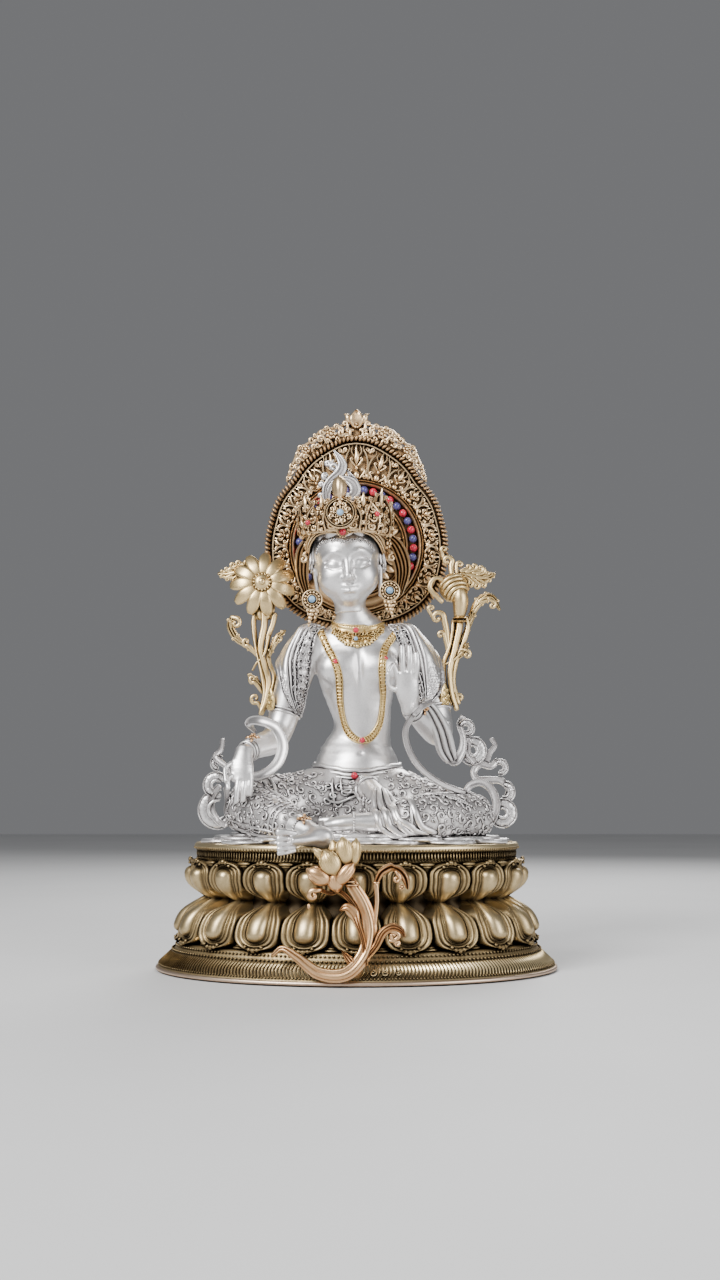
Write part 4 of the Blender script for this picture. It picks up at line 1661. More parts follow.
def open_lotus():
    parts = stems(OPEN_STEMS, OPEN_HALF, [147, 160, 176, 196, 215], [9, 11, 14, 16, 17])
    parts.append(foliage(OPEN_LEAF, 6))
    parts += [foliage(leaf, 3) for leaf in OPEN_FOLIAGE]
    angles = [-0.25 + TURN * k / 11 for k in range(11)]
    flower = [petal(a, 18.8, 3.6, 3.6, 1.3) for a in angles]
    for a in angles:
        seam = ((6, -2.2), (10, -2.1), (14, -0.6), (17, 0.9))
        flower.append(sweep([[math.cos(a) * r, y, math.sin(a) * r, 0.3, 0.4] for r, y in seam], 8, SLIM))
    flower += [ball((0, -2.2, 0), (5.2, 3.0, 5.2), 18, 10), ball((0, -4.6, 0), (2.2, 1.4, 2.2), 12, 6)]
    flower.append(copies(bead(0.8, 6, 4), ring_of(4.8, 16) - [0, 3.2, 0]))
    parts.append(place(join(*flower), OPEN_AT + [0, -1, 0], *facing((0, -1, 0.12))))
    parts.append(sweep([[-54.6, 17, 216, 6.4, 2.6], [-54.4, 16.4, 210, 6.8, 2.6],
                        [-54.2, 16, 203, 5.6, 2.4]], 10, fluted_section(24, 6, 0.3)))
    for args in OPEN_CURLS:
        parts.append(curl(*args[:5], lead=args[5]))
    piece("lotus_right_metal", join(*parts), GILT_PALE, ["lotus_right"], 60)


def closed_lotus():
    parts = stems(CLOSED_STEMS, CLOSED_HALF, [149, 160, 173, 190, 204], [9, 10.4, 12.6, 15, 16])
    parts += [foliage(CLOSED_LEAVES[0], 6), foliage(CLOSED_LEAVES[1], 5, 0.9), foliage(CLOSED_LEAVES[2], 3)]
    parts.append(ball(BULB, BULB_RADII, 24, 14))
    focus = np.array([4.4, -8.4])
    for k in range(7):
        reach = 3.4 + 2.4 * k
        a = np.radians(np.linspace(20, 215, 15))
        x, z = focus[0] + reach * np.cos(a), focus[1] + reach * np.sin(a)
        inside = 1 - (x / BULB_RADII[0]) ** 2 - (z / BULB_RADII[2]) ** 2
        keep = inside > 0.0
        if keep.sum() < 4:
            continue
        y = -BULB_RADII[1] * np.sqrt(np.maximum(inside, 0))
        rows = np.column_stack([x, y, z, np.full(15, 1.15), np.full(15, 1.0)])[keep]
        parts.append(sweep(rows + [*BULB, 0, 0], 16, SLIM))
    throat = [[60, 14, 218, 4.0, 4], [60.6, 13.4, 214, 4.6, 4], [60.6, 14, 209, 4.3, 3.8],
              [60, 14.6, 203.4, 3.2, 3.2]]
    parts.append(sweep(throat, 12, round_section(8)))
    for z, half in ((218, 4.6), (202.6, 4.2), (200.6, 4.4)):
        parts.append(ball((60.2, 14.4, z), (half, 4, 0.9), 16, 6))
    for args in CLOSED_CURLS:
        parts.append(curl(*args[:5], lead=args[5]))
    piece("lotus_left_metal", join(*parts), GILT_PALE, ["lotus_left"], 60)


FOOT_STEM = [
    [-3.4, -76.4, 54, 3.4], [3.6, -77.6, 42, 4.0], [6.6, -80, 29, 4.2], [3, -82.4, 16, 4.0],
    [-6, -85.4, 7.6, 3.8], [-19, -84.4, 8, 3.5], [-30, -81.6, 15.4, 2.6], [-38, -79.4, 20, 1.7],
    [-43, -78.6, 16.6, 1.2],
]


def plump(middle, half_width, half_height, degrees, thick, veins):
    """A round petal facing -Y, its tip turned by degrees from straight up, with veins on its face."""
    a = math.radians(degrees)
    rise = np.array([-math.sin(a), 0, math.cos(a)])
    side = np.array([math.cos(a), 0, math.sin(a)])
    w, h = half_width, half_height
    rows = [[0, 0, -h, 0.42 * w, 0.5 * thick], [0, -0.3, -0.6 * h, 0.84 * w, 0.9 * thick],
            [0, -0.4, 0, w, thick], [0, -0.2, 0.55 * h, 0.78 * w, 0.86 * thick],
            [0, 0.3, 0.95 * h, 0.26 * w, 0.45 * thick]]
    parts = [sweep(rows, 16, round_section(18))]
    for k in range(-veins, veins + 1):
        x = k / (veins + 0.6)
        path = []
        for t in np.linspace(-0.8, 0.75, 7):
            wide = w * math.sqrt(max(0.02, 1 - t * t)) * x
            deep = -0.4 - thick * math.sqrt(max(0.04, 1 - (x * x + t * t) * 0.9))
            path.append([wide, deep + 0.15, t * h, 0.24, 0.3])
        parts.append(sweep(path, 10, SLIM))
    return place(join(*parts), middle, side, (0, 1, 0), rise)


FOOT_VINE = [[6, -79, 14, 1.3], [8.6, -79.4, 28, 1.3], [10.6, -78, 43, 1.2], [10.2, -76.6, 53, 1.5]]
FOOT_CUP = [  # middle, half width, half height, degrees, thickness, veins
    ((-19.6, -78.4, 57.4), 4.9, 6.6, 62, 3.4, 2), ((-5.6, -78.6, 58.6), 4.0, 7.2, -38, 3.2, 2),
    ((-11, -77.8, 54.6), 4.4, 5.2, 12, 3.0, 2),
]
FOOT_BUD = [
    ((-13.6, -79.6, 64.2), 6.0, 6.4, 24, 3.4, 3), ((-6.2, -78.8, 70.2), 5.0, 6.8, 8, 3.4, 3),
    ((-0.8, -77.2, 69.6), 3.4, 6.8, -6, 3.4, 3), ((-17.6, -77.4, 67), 2.6, 6.6, 46, 2.8, 1),
    ((-9.6, -76.6, 68), 5, 7.6, 22, 2.8, 1),
]


def foot_lotus():
    stem = [[*row, 2.3] for row in FOOT_STEM]
    parts = [
        sweep(stem, 70, fluted_section(36, 5, 0.34)),
        sweep(FOOT_VINE, 30, fluted_section(18, 3, 0.3)),
        ball((10.2, -76.6, 53.6), (2.1, 1.8, 0.8), 12, 5),
        pleated([[10.2, -76.4, 54, 1.5, 1.2], [12.6, -75.4, 58.6, 2.0, 1.3], [17, -75, 61.4, 2.3, 1.3],
                 [19, -75, 61.6, 1.6, 1.2]], 2),
        pleated([[19, -75, 61.4, 1.6, 1.2], [22.6, -75, 59.6, 2.2, 1.3], [25.4, -75.4, 55.6, 2.2, 1.2],
                 [26.4, -76, 50.6, 0.8, 0.8]], 2),
        curl((20.6, -76.4, 55.6), 2.3, 60, -0.9, 1.0, lead=[[20, -75.6, 60, 1.0]], steps=16),
        place(rosette(1.8, 5), (23.4, -77.4, 51.6), *facing(FRONT)),
        sweep([[2.6, -82, 13, 1.5, 1.6], [9.6, -81.6, 21, 2.0, 1.7], [13.4, -80.4, 28, 2.3, 1.8],
               [18.4, -79.6, 31, 2.2, 1.7], [23, -79.4, 29.4, 1.6, 1.4], [24.6, -79.4, 26.4, 0.7, 0.8]],
              34, RIDGED),
        curl((19, -80, 26.4), 2.7, 30, -0.95, 1.2, lead=[[15.6, -80, 29.6, 1.2]], steps=18),
        curl((20.6, -80, 22.6), 1.5, 30, -0.9, 0.8, lead=[[17, -80, 24, 0.8]], steps=14),
        sweep([[5, -82.6, 12, 1.1, 1.2], [3.4, -82.8, 24, 1.2, 1.2], [0.4, -82, 33, 1.6, 1.3],
               [-1.6, -81, 38, 3.0, 1.4], [-5.2, -80.4, 41, 2.4, 1.3], [-8.6, -80, 39.6, 0.4, 0.6]],
              34, RIDGED),
        sweep([[-0.6, -83.6, 10, 1.3, 1.4], [-4, -84.4, 15, 2.0, 1.5], [-7.6, -84, 19.6, 0.3, 0.6]],
              14, RIDGED),
        sweep([[2, -78.6, 36, 1.2, 1.2], [-3, -77.6, 44, 1.3, 1.2], [-8.6, -77, 49, 1.2, 1.2],
               [-13, -76.6, 48, 1.0, 1.0], [-18, -76.6, 49.6, 1.2, 1.2]], 30, RIDGED),
        curl((-22.2, -77.4, 47), 3.0, 60, 0.95, 1.4, lead=[[-18.4, -76.6, 50, 1.3]], steps=20),
        ball((-24.6, -77.4, 41.4), (1.0, 1.0, 1.6), 9, 6),
        ball((-2.4, -76.8, 52.4), (4.1, 3.2, 0.9), 18, 5),
        ball((-3.6, -76.8, 54.2), (3.8, 3.2, 0.9), 18, 5),
    ]
    piece("foot_lotus_stem", join(*parts), COPPER, ["foot_lotus"], 60)
    piece("foot_lotus_cup", join(*[plump(*row) for row in FOOT_CUP]), COPPER)
    piece("foot_lotus_bud", join(*[plump(*row) for row in FOOT_BUD]), GILT_PALE)


# The scarf's free ends
RIGHT_RIBBONS = [
    [[-59, 6, 136, 1.0, 0.8], [-61.4, -5, 140.4, 2.4, 1], [-55, -16, 141, 2.8, 1], [-45.4, -20, 137, 3.0, 1],
     [-41, -23, 127, 3.1, 1.1], [-44, -26, 116.4, 3.0, 1.1], [-53, -28, 110, 2.6, 1.1],
     [-64, -30, 110, 2.0, 1.1], [-72, -30, 113, 1.0, 0.9]],
    [[-72, -30, 115, 1.7, 1], [-78, -28, 120, 1.6, 1], [-75, -27, 124, 1.4, 1], [-74, -27, 130, 1.2, 1]],
    [[-76, -26, 104, 1.6, 1.2], [-80.4, -23, 98, 1.9, 1.2], [-80.6, -22, 90.6, 2.0, 1.2],
     [-77, -24, 84.6, 1.9, 1.2], [-72, -30, 82.4, 1.7, 1.2]],
    [[-72, -28, 103, 1.5, 1.1], [-71.4, -26, 96, 1.5, 1.1], [-72, -27, 89, 1.5, 1.1]],
]
RIGHT_FOLDS = [  # x, y, z, radius, half width, first and last degrees
    (-76.2, -27, 116.6, 3.0, 1.5, 60, 265), (-77.8, -24, 104.6, 4.9, 2.5, 35, 245),
               (-77.2, -22, 91.0, 8.0, 3.1, 80, 312),
]
LEFT_RIBBONS = [
    [[51, -13.6, 121, 2.6, 1.2], [55.6, -12, 118.4, 2.9, 1.3], [59.8, -11, 124.6, 2.3, 1.2],
     [60.4, -9, 132, 1.8, 1.1], [58.6, -7, 139, 1.7, 1.1], [60.6, -6, 143.6, 1.7, 1.1]],
    [[63.6, -9, 131, 1.8, 1.1], [63, -10, 123, 2.0, 1.2], [66.6, -10, 117.6, 2.0, 1.2]],
    [[74, -9, 118.6, 1.6, 1.1], [75.6, -9, 123, 1.6, 1.1], [78.4, -9, 127.4, 1.4, 1.1],
     [76.4, -9, 131, 1.2, 1]],
    [[79.6, -9, 118.6, 1.7, 1.1], [76, -9, 115.4, 1.9, 1.2], [70, -9.6, 116.4, 1.9, 1.2],
     [66.4, -10, 112.4, 2.0, 1.2], [68.4, -10, 108, 2.0, 1.2], [75, -10, 107.6, 2.0, 1.2],
     [82, -9.4, 107, 2.0, 1.2], [86.4, -9, 102.4, 2.0, 1.2], [84.6, -9.6, 97, 1.8, 1.2]],
    [[60.4, -24, 100.4, 1.8, 1.2], [63.6, -22, 104.6, 2.0, 1.3], [69.6, -18, 106, 2.2, 1.3],
     [75.6, -14, 102.6, 2.3, 1.3], [78.8, -12, 95, 2.3, 1.3], [77.4, -12, 86.4, 2.1, 1.3],
     [72.6, -16, 80, 1.8, 1.2]],
    [[31.6, -44, 143.6, 1.5, 1.2], [26.6, -41, 134, 1.6, 1.2], [29, -38.6, 122.6, 1.7, 1.2],
     [36, -36, 112.6, 1.7, 1.2], [47, -31, 105, 1.7, 1.2], [60, -25, 100, 1.6, 1.2]],
    [[31, -44.6, 142.6, 1.5, 1.1], [36, -43, 147, 1.6, 1.1], [41, -36, 150, 1.7, 1.1]],
]
LEFT_PLEATS = [[36, -34, 150, 2.6, 0.7], [41.4, -29, 145, 4.2, 0.8], [47, -22, 135, 5.2, 0.9],
               [50.4, -16, 124.6, 5.2, 0.9], [53.6, -13, 118.6, 3.4, 0.9]]
LEFT_FOLDS = [
    (62, -8, 137, 3.3, 1.7, 145, -95), (65.4, -9.4, 124.2, 5.4, 2.8, 100, -135),
    (82.4, -10.4, 89, 5.4, 2.9, 110, -150), (81.2, -9, 114.8, 3.2, 1.5, 125, -100),
    (83.4, -9.6, 100.8, 4.4, 2.0, 85, -110),
]


def fold(x, y, z, radius, half_width, first, last):
    """A turned-over fold of the scarf: a stippled face between a smooth inner rim and a raised edge."""
    a = np.radians(np.linspace(first, last, 9))
    grow = np.array([0.45, 0.75, 0.95, 1, 1, 1, 0.95, 0.75, 0.45])

    def arc(reach, half, thick, deep):
        rows = [x + reach * np.cos(a), np.full(9, y - deep), z + reach * np.sin(a), half * grow,
                thick * (0.5 + 0.5 * grow)]
        return sweep(np.column_stack(rows), 44, ROUND)

    face = arc(radius, half_width, 1.1, 0)
    stipple = 0.3 * ripple(face[0], 1.5)
    face = (face[0] + np.array(FRONT)[None] * stipple[:, None], face[1], face[2])
    inner = arc(radius - 0.9 * half_width, 0.36 * half_width, 1.2, 0.6)
    return join(face, inner, arc(radius + 0.95 * half_width, 0.5, 1.0, 0.4))


def scarf():
    for name, ribbons, folds in (("scarf_right", RIGHT_RIBBONS, RIGHT_FOLDS),
                                 ("scarf_left", LEFT_RIBBONS, LEFT_FOLDS)):
        parts = [sweep(ribbon, 12 * len(ribbon), BAND, (0, -1, 0.2)) for ribbon in ribbons]
        parts += [fold(*args) for args in folds]
        if name == "scarf_left":
            parts.append(pleated(LEFT_PLEATS, 3, 1.0))
        piece(name + "_ribbons", join(*parts), SILVER, [name], 60)


def earring(name, at):
    """A disc with two rims and a ring of grains, over a pendant that narrows downward."""
    x, y, z = at
    parts = [ball(at, (5.4, 0.9, 5.4), 28, 8), loop(ring_of(5.5, 40) + at + [0, -0.6, 0], 0.5, 0.9),
             loop(ring_of(2.7, 40) + at + [0, -1.2, 0], 0.4, 0.7)]
    for grain in ring_of(4.1, 14):
        parts.append(ball(grain + [x, y - 1.1, z], (0.8, 0.7, 0.8), 7, 5))
    for k in range(5):
        middle = (x * (1 + 0.02 * k), y - 0.4, z - 6.4 - 2.0 * k)
        parts.append(ball(middle, (2.0 - 0.34 * k, 1.1, 1.2), 9, 6))
        for way in (-1, 1):
            if k < 3:
                middle = (x + way * (2.6 - 0.5 * k), y - 0.3, z - 6 - 2.1 * k)
                parts.append(ball(middle, (1.0, 0.9, 1.0), 7, 5))
    piece(name + "_metal", join(*parts), GILT, [name])


# Jewellery laid on the body
COLLAR = [
    [(-16.4, 1, 200.8), (-10, -6, 197.4), (0.6, -9, 196), (11.2, -6, 197.4), (17.6, 1, 200.8)],
    [(-15.6, -3, 196.6), (-9, -9, 192.2), (0.6, -10, 191), (10.2, -9, 192.2), (16.8, -3, 196.6)],
    [(-14.6, -5, 193.6), (-8.4, -10, 187.6), (0.6, -11, 184.8), (9.6, -10, 187.6), (15.8, -5, 193.6)],
]
CHAIN = [[-21.6, -4, 195], [-17.1, -8, 184.3], [-12.8, -9, 175.6], [-10.1, -8, 167], [-9.5, -8, 158],
         [-8.9, -8, 149.4], [-6.4, -7, 138.5], [-2, -6, 132], [3.2, -6, 129.9], [9, -7, 132.8],
         [13.4, -8, 140.7], [15, -8, 153.8], [14.8, -9, 164], [14.4, -9, 172], [16, -8, 182],
         [20.2, -8, 188.6], [24.6, -4, 195]]
CHAIN_HALF_WIDTH = 1.9
CHAIN_LINKS = 74


def fronted(clay, path):
    """The path moved straight back or forward onto the clay's front."""
    path = np.array(path, float)
    for _ in range(6):
        path[:, 1] = clay.settle(path, 0)[0][:, 1]
    return path


def collar_relief(u, v, p):
    rails = sum(0.6 * np.exp(-((u - at) / 0.03) ** 2) for at in (0.05, 0.2, 0.95))
    grains = 0.4 * np.abs(np.sin(TURN * 14 * v)) * np.exp(-((u - 0.12) / 0.05) ** 2)
    scallops = 0.5 * np.abs(np.sin(TURN * 5 * v)) * np.exp(-((u - 0.85) / 0.08) ** 2)
    return rails + grains + scallops


def necklace():
    parts = [patch(BODY, COLLAR, 120, 34, 0.7, collar_relief)]
    middle = smooth(COLLAR[1], 19)[1:-1]
    lower = smooth([0.5 * (np.array(m) + n) for m, n in zip(COLLAR[1], COLLAR[2])], 17)[1:-1]
    for row, size, seed in ((middle, 1.25, 1), (lower, 1.15, 2)):
        places, normals = BODY.settle(row, 0.9)
        parts.append(whorls(BODY, places, normals, size, seed, 0.36, 1.75))
    edge, _ = BODY.settle(smooth(COLLAR[2], 21), 0.7)
    for k, at in enumerate(edge):
        parts.append(ball(at - UP * 0.5, [1.3 if k == 10 else 0.75] * 3, 9, 6))
    path = fronted(BODY, smooth(CHAIN, CHAIN_LINKS))
    bars = unit(np.cross(np.gradient(path, axis=0), FRONT))
    for side in (-CHAIN_HALF_WIDTH, CHAIN_HALF_WIDTH):
        parts.append(strips(BODY, (path + bars * side)[None], 0.4, 1.1))
    paths = path[:, None] + bars[:, None] * np.linspace(-1.7, 1.7, 5)[:, None]
    parts.append(strips(BODY, paths, 0.62, 1.35))
    parts.append(strips(BODY, path[None], CHAIN_HALF_WIDTH, 0.75))
    piece("necklaces", join(*parts), YELLOW_GILT)


crown()
topknot()
stones()
open_lotus()
closed_lotus()
foot_lotus()
scarf()
earring("earring_right", (-25.2, -7, 210))
earring("earring_left", (18.9, -7, 215))
necklace()


# Bands, beads and places on a limb
def hoop(clay, at, axis, radius, half_width, height, count=44, lift=0.0):
    """A closed band round a limb."""
    axis = unit(np.asarray(axis, float))
    side = unit(np.cross(axis, UP if abs(axis[2]) < 0.9 else FRONT))
    rise = np.cross(axis, side)
    a = np.arange(count) / count * TURN
    ring = np.asarray(at, float) + radius * (np.cos(a)[:, None] * side + np.sin(a)[:, None] * rise)
    ring, _ = clay.settle(ring, lift)
    return loop(ring, height, half_width, ROUND, axis), ring


def bead_hoop(clay, at, axis, radius, size, count):
    """Beads round a limb."""
    _, ring = hoop(clay, at, axis, radius, 1, 1, count, 0.5 * size)
    return copies(bead(size), ring)


def scatter(clay, low, high, spacing, tries, keep, seed):
    """Places on the clay inside a box, at least spacing apart, and the outward directions there."""
    random = np.random.default_rng(seed)
    p = np.asarray(low) + random.random((tries, 3)) * (np.asarray(high, float) - low)
    p, normal = clay.settle(p, 0, 5)
    good = np.abs(clay.value(p)) < 0.2
    good &= np.all((p > low) & (p < high), axis=1) & keep(p, normal)
    p, normal = p[good], normal[good]
    chosen = []
    for k in range(len(p)):
        if not chosen or np.min(np.sum((p[chosen] - p[k]) ** 2, axis=1)) > spacing**2:
            chosen.append(k)
    return p[chosen], normal[chosen]


# The seat's petals, the clothes and the small jewels
SEAT_Y = -11  # middle of the seat, front to back
SEAT_PETALS = 14


def seat():
    """Broad thin petals that overlap round the deck."""
    outline = np.array([[1, 0], [0.95, 0.6], [0.7, 1], [0.3, 0.86], [0, 0.7], [-0.3, 0.86], [-0.7, 1],
                        [-0.95, 0.6], [-1, 0], [-0.8, -0.8], [0.8, -0.8]])
    parts = []
    for layer, (reach, z) in enumerate(((87, 73.1), (80, 74.9), (71, 76.6))):
        for k in range(SEAT_PETALS):
            a = (k + 0.5 * layer + 0.3) / SEAT_PETALS * TURN
            tip = np.array([reach * math.cos(a), SEAT_Y + 0.545 * reach * math.sin(a), z])
            root = np.array([0.5 * tip[0], SEAT_Y + 0.5 * (tip[1] - SEAT_Y), z + 0.3])
            width = 18 if abs(math.cos(a)) < 0.9 else 14
            shares = ((0, 0.5), (0.35, 0.9), (0.65, 1.0), (0.85, 0.84), (0.95, 0.56), (1.0, 0.2))
            rows = [[*(root + (tip - root) * share), width * size, 1.5] for share, size in shares]
            parts.append(sweep(rows, 16, outline, UP))
    parts.append(ball((0, -10, 74.4), (68, 34, 1.6), 48, 6))
    piece("figure_seat", join(*parts), SILVER_SKIN)


RIGHT_SHAWL = [
    [(-22, 13, 199), (-36, 15, 188), (-45, 10, 177), (-46, 0, 171), (-44, -6, 161), (-39, -7.5, 151),
     (-34.4, -4, 145)],
    [(-22, 8, 201), (-35, 3, 191), (-42.6, -3, 179), (-42, -6, 168), (-39.6, -7, 158), (-35.6, -6, 149.6),
     (-33, -3, 144.8)],
    [(-20.6, 3, 200), (-30, -4, 190), (-35, -6, 177), (-35, -6, 166), (-34.6, -6, 156), (-32.8, -4, 149),
     (-31.6, -1, 144.6)],
    [(-18.6, 0, 198), (-23.4, -5, 189), (-25, -4, 177), (-27, -1, 165), (-28.8, 0, 155), (-29.4, 1, 148),
     (-30.2, 2, 144.4)],
]
LEFT_SHAWL = [
    [(18.6, 0, 198), (22.4, -5, 190), (25.4, -5, 180), (28, -5, 170), (32, -5, 161), (36.4, -5, 154)],
    [(20.6, 3, 201), (29, -4, 192), (33, -6, 180), (35, -6.6, 170), (37, -7, 161), (38.4, -6.6, 153)],
    [(22, 8, 202), (35, 2, 193), (41.6, -3, 180), (43, -5, 169), (42, -6, 160), (40.6, -6.6, 152.6)],
    [(22, 13, 199), (38, 14, 188), (47, 9, 177), (50, 3, 166), (48.6, -2, 158), (43, -6.6, 152)],
]


def shawl_relief(flip):
    """Pleats, ridged borders and a fine pattern, measured from the other long edge where flip is set."""
    def relief(u, v, p):
        w = 1 - u if flip else u
        pleats = 0.9 * np.abs(np.sin(TURN * (1.6 * w + 0.35 * v))) * ease(v, -0.2, 0.25)
        pleats = pleats * (1 - ease(w, 0.42, 0.6)) * (1 - ease(v, 0.4, 0.75))
        sway = w - 0.05 * np.sin(3 * v)
        border = sum(0.8 * np.exp(-((sway - at) / 0.022) ** 2) for at in (0.03, 0.5, 0.62, 0.96))
        grooves = sum(0.7 * np.exp(-((sway - at) / 0.02) ** 2) for at in (0.075, 0.455, 0.56, 0.665, 0.92))
        patterned = np.maximum(ease(w, 0.66, 0.7), ease(v, 0.4, 0.6) * (1 - ease(w, 0.4, 0.45)))
        pattern = 0.34 * ripple(p, 1.9) * patterned
        return pleats + border - grooves + pattern

    return relief


def shawl_scrolls(guides, first, last, seed):
    """Scrolls on the shawl between two of its guide lines."""
    lines = np.stack([smooth(line, 18) for line in guides])
    across = np.stack([smooth(lines[:, k], 16) for k in range(18)])
    chosen = []
    for at in across[1:, first:last].reshape(-1, 3):
        if all(np.linalg.norm(at - other) > 3.1 for other in chosen):
            chosen.append(at)
    places, normals = BODY.settle(np.array(chosen), 0.8)
    return whorls(BODY, places, normals, 1.45, seed, 0.38, 2.05)


def hem_folds():
    """Nested folds of the hem that fall over the left shin and foot, and points along them."""
    shin = legs_clay().add(tube(LEFT_FOOT, 16))
    paths = []
    for k in range(5):
        paths.append([
            (9.5 + 2.8 * k, -34 + k, 104), (8.6 + 4 * k, -42 + k, 96.2),
            (10.2 + 4.6 * k, -46.6 + 0.7 * k, 88.2 + 0.4 * k), (13.4 + 5.2 * k, -50 + 0.5 * k, 81 + 0.6 * k),
            (19 + 5.2 * k, -52 + 0.3 * k, 77 + 0.6 * k), (27 + 4.2 * k, -54 + 0.6 * k, 75.8 + 0.3 * k),
        ])
    ridges = [laid(shin, path, 2.0, 1.5, 30, ROUND, taper=0.35) for path in paths]
    return ridges, np.vstack([shin.settle(smooth(path, 20), 0)[0] for path in paths])


CLOTH_LINES = [  # ridges of the trousers' cloth
    [(-52, -24, 109), (-46, -32, 104), (-40, -42, 96), (-36, -50, 89)],
    [(-48, -22, 110), (-42, -30, 105), (-36, -40, 97), (-32, -47, 91)],
    [(-14, -18, 112), (-13, -22, 104), (-12, -26, 98), (-12, -28, 92)],
    [(-9, -18, 112), (-9, -22, 104), (-8.6, -27, 98), (-8, -30, 92)],
    [(22, -22, 104), (34, -34, 101), (46, -32, 103), (58, -24, 102), (66, -18, 99)],
    [(24, -24, 101), (36, -38, 97), (50, -38, 96), (60, -34, 93)],
    [(-70, -22, 84), (-58, -38, 80), (-46, -50, 78), (-40, -56, 77)],
    [(-72, -20, 88), (-60, -38, 84), (-50, -48, 82), (-43, -54, 80)],
]
BEADED_LINES = (CLOTH_LINES[1], CLOTH_LINES[5])
CLOTH_BOX = ((-80, -64, 74), (82, 30, 112))
LARGE_WHORL = {"spacing": 5.9, "tries": 6000, "size": 2.7}
SMALL_WHORL = {"spacing": 2.9, "tries": 9000, "size": 1.1}


def nearest(p, others):
    """The distance from each point to the nearest of the others."""
    return np.min(np.linalg.norm(p[:, None] - others, axis=2), axis=1)


def clothes():
    parts = [
        patch(BODY, RIGHT_SHAWL, 120, 56, 1.1, shawl_relief(False)), shawl_scrolls(RIGHT_SHAWL, 10, 15, 11),
        patch(BODY, LEFT_SHAWL, 110, 60, 1.1, shawl_relief(True)), shawl_scrolls(LEFT_SHAWL, 1, 6, 12),
    ]
    piece("figure_shawl", join(*parts), SILVER)
    ridges, folds = hem_folds()
    ridges += [laid(LEGS, path, 0.9, 1.6, 26, taper=0.5) for path in CLOTH_LINES]
    for path in BEADED_LINES:
        row, _ = LEGS.settle(smooth([np.array(at) + [0.8, 0, -1.6] for at in path], 26), 0.6)
        ridges.append(copies(bead(0.8, 7, 5), row))
    for at, axis, radius, half_width, height in (
        ((-36.6, -50.6, 83.4), (0.55, -0.75, -0.2), 10, 0.8, 0.9),
        ((-38.6, -48, 84), (0.55, -0.75, -0.2), 10.6, 0.8, 0.9),
        ((28.5, -43.2, 85.4), (1, 0.1, 0), 12, 0.9, 1.0),
    ):
        ridges.append(hoop(LEGS, at, axis, radius, half_width, height)[0])

    def open_cloth(p, n):
        apron = (np.abs(p[:, 0] + 1.2) < 17) & (p[:, 2] > 97) & (p[:, 1] < -8)
        return (n[:, 2] > -0.75) & (p[:, 2] > 75.5) & (p[:, 2] < 112) & ~apron & (nearest(p, folds) > 3.4)

    large, out = scatter(LEGS, *CLOTH_BOX, LARGE_WHORL["spacing"], LARGE_WHORL["tries"], open_cloth, 5)
    ridges.append(whorls(LEGS, large, out, LARGE_WHORL["size"], 6, 0.62, 0.95))

    def between(p, n):
        return open_cloth(p, n) & (nearest(p, large) > 3.3)

    small, out = scatter(LEGS, *CLOTH_BOX, SMALL_WHORL["spacing"], SMALL_WHORL["tries"], between, 7)
    ridges.append(whorls(LEGS, small, out, SMALL_WHORL["size"], 8, 0.42, 0.75))
    piece("figure_brocade", join(*ridges), SILVER_CLOTH)


GIRDLE_STEPS = 110
GIRDLE_CURLS = [  # x from the middle, z, size, first degrees, way round
    (4.2, 108.4, 1.7, 200, 1), (8.2, 104.6, 3.0, 150, -1), (14.4, 105.6, 2.6, 60, 1),
    (5.0, 101.4, 2.2, 240, 1), (11.4, 99.2, 2.4, 150, -1), (18.6, 104, 1.9, 60, 1),
]


def girdle():
    parts = []
    a = np.arange(GIRDLE_STEPS) / GIRDLE_STEPS * TURN
    for drop, half in ((0, 1.5), (-2.9, 1.2), (-5.2, 0.7)):
        x, y = 30 * np.cos(a) + 0.3, 22 * np.sin(a) + 7
        dip = -4.8 * np.exp(-((a - 1.5 * math.pi) / 0.8) ** 2)
        ring, _ = HIPS.settle(np.column_stack([x, y, 119.2 + drop + dip]), 1.0, 6)
        parts.append(loop(ring, half, half, ROUND, UP))
    for way in (-1, 1):
        for x, z, size, start, spin in GIRDLE_CURLS:
            t = np.linspace(0, 1, 20)
            turn = math.radians(start) + spin * t * 1.3 * TURN
            out = size * (1 - 0.85 * t)
            path = np.column_stack([-1.2 + way * (x + np.cos(turn) * out), np.full(20, -19.0),
                                    z + np.sin(turn) * out])
            parts.append(strips(LEGS, path[None], 0.8, 1.4, taper=0.4))
        path = [(-1.2 + way * 1.4, -20, 105), (-1.2 + way * 4.4, -22, 97.6), (-1.2 + way * 10, -24, 95.4),
                (-1.2 + way * 16, -24, 98)]
        parts.append(laid(LEGS, path, 1.0, 1.5, 20, taper=0.5))
    drop, _ = HIPS.settle(np.array([[-1.2, -14, 106.6], [-1.2, -15, 104.4], [-1.2, -16, 102.4]]), 0.6)
    for k, at in enumerate(drop):
        parts.append(ball(at, [1.5 - 0.35 * k] * 3, 10, 7))
    piece("figure_girdle", join(*parts), SILVER)


def flower_clasp(at, face, size):
    """A clasp of five round petals with four leaves, facing outward."""
    parts = [rosette(size, 5)]
    for way in (-1, 1):
        reach = way * size
        parts.append(sweep([[reach * 0.8, -0.6, 0, 0.5, 0.7], [reach * 1.5, -0.8, 0.3, 0.9, 0.8],
                            [reach * 2.1, -0.4, -0.2, 0.2, 0.4]], 7, SLIM))
        parts.append(sweep([[0, -0.6, reach * 0.8, 0.5, 0.7], [0, -0.8, reach * 1.4, 0.8, 0.8],
                            [0, -0.4, reach * 1.8, 0.2, 0.4]], 7, SLIM))
    return place(join(*parts), at, *facing(face))


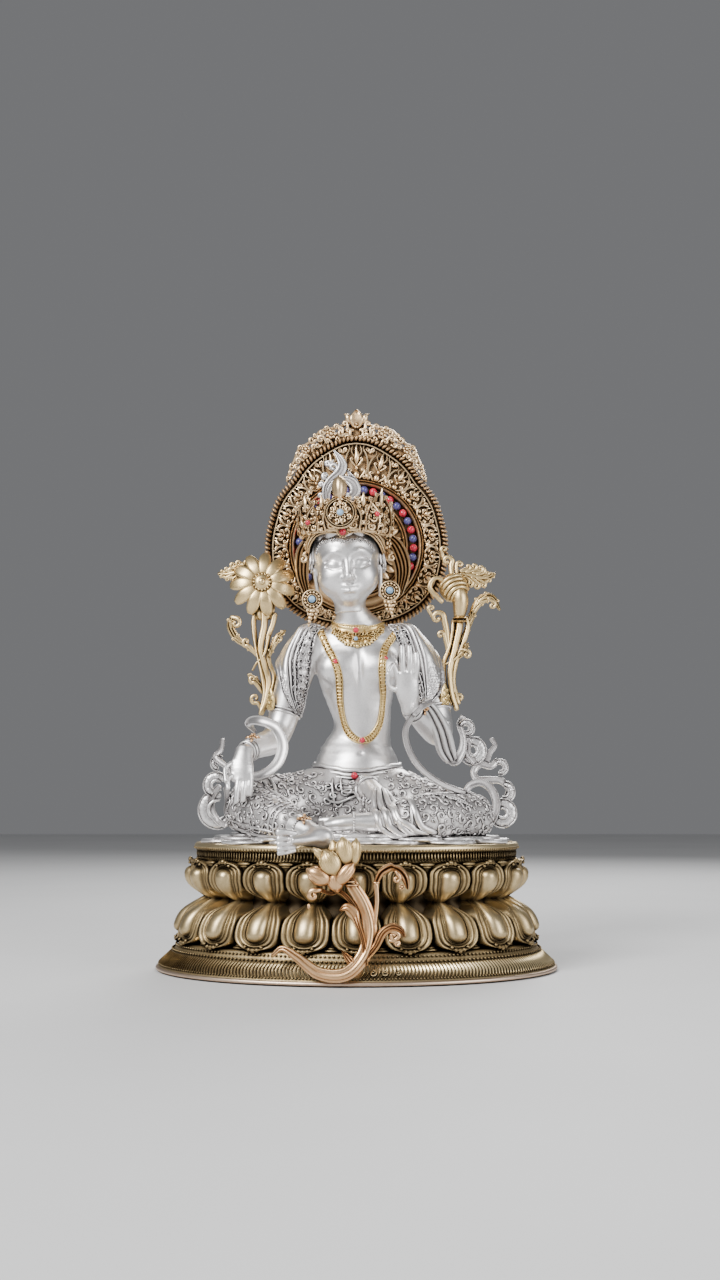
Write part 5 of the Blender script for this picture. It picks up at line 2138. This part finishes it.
def plaque(height):
    """A small upright leaf of filigree for an armlet."""
    h = height
    parts = [sweep([[0, 0, 0, 2.8, 0.8], [0, 0, 0.4 * h, 3.4, 0.9], [0, 0, 0.75 * h, 2.2, 0.8],
                    [0, 0, h, 0.3, 0.4]], 12, SLIM)]
    for way in (-1, 1):
        for x, z, size, start in ((1.5, 0.15, 1.3, 200), (1.7, 0.45, 1.3, 200), (1.0, 0.7, 1.0, 190)):
            one = curl((x, -0.8, z * h), size, start, 1.0, 0.5, steps=10)
            parts.append(handed(one, way))
    parts.append(ball((0, -1, 0.32 * h), (0.9, 0.9, 0.9), 8, 6))
    return join(*parts)


def jewels():
    silver, gold, copper = [], [], []
    for at, axis, radius in (((-41.4, 3, 147.6), (-0.26, -0.14, -1), 9.6),
                             ((44.6, 1.8, 149.2), (0.24, -0.2, -1), 9.4)):
        for step, half in ((0, 0.8), (1.9, 0.7)):
            place_at = np.array(at) + unit(np.array(axis)) * step
            silver.append(hoop(BODY, place_at, axis, radius, half, 1.0)[0])
    gold.append(place(plaque(12), (-49, -3, 148), *facing((-0.9, -1, 0))))
    gold.append(place(plaque(13), (50.4, -4, 150), *facing((0.8, -1, 0))))
    for at, axis in (((-59.2, -32, 123.6), (-7, -16, -4)), ((31.2, -33.2, 145), (-8.7, -15, 7.6))):
        for step, half in ((-2.6, 0.6), (0, 0.9), (2.4, 0.6)):
            place_at = np.array(at) + unit(np.array(axis, float)) * step
            silver.append(hoop(BODY, place_at, axis, 5.4, half, 0.9)[0])
    copper.append(flower_clasp((-56.6, -34, 130), (-0.3, -1, 1.2), 2.0))
    copper.append(flower_clasp((36.6, -34, 146), (0.9, -1, 0.4), 2.0))
    silver.append(bead_hoop(LEFT_FOOT_CLAY, (-1.6, -47.2, 84.4), (1, 0.05, 0), 5.6, 0.75, 24))
    silver.append(bead_hoop(RIGHT_FOOT, (-28.6, -58, 80.6), (0.6, -0.75, -0.25), 6.6, 0.75, 28))
    copper.append(flower_clasp((-27.6, -62.6, 86), (-0.1, -1, 0.8), 1.9))
    piece("figure_rings", join(*silver), SILVER)
    piece("figure_plaques", join(*gold), YELLOW_GILT)
    piece("figure_clasps", join(*copper), COPPER)


HIPS = Clay().add(tube([[0.3, 6, 96, 29, 22], [0.3, 8, 108, 26.4, 19], [0.4, 8.6, 115, 23.6, 17],
                        [0.6, 9, 121.2, 20.8, 15.4]], 12))
seat()
clothes()
hair()
girdle()
jewels()
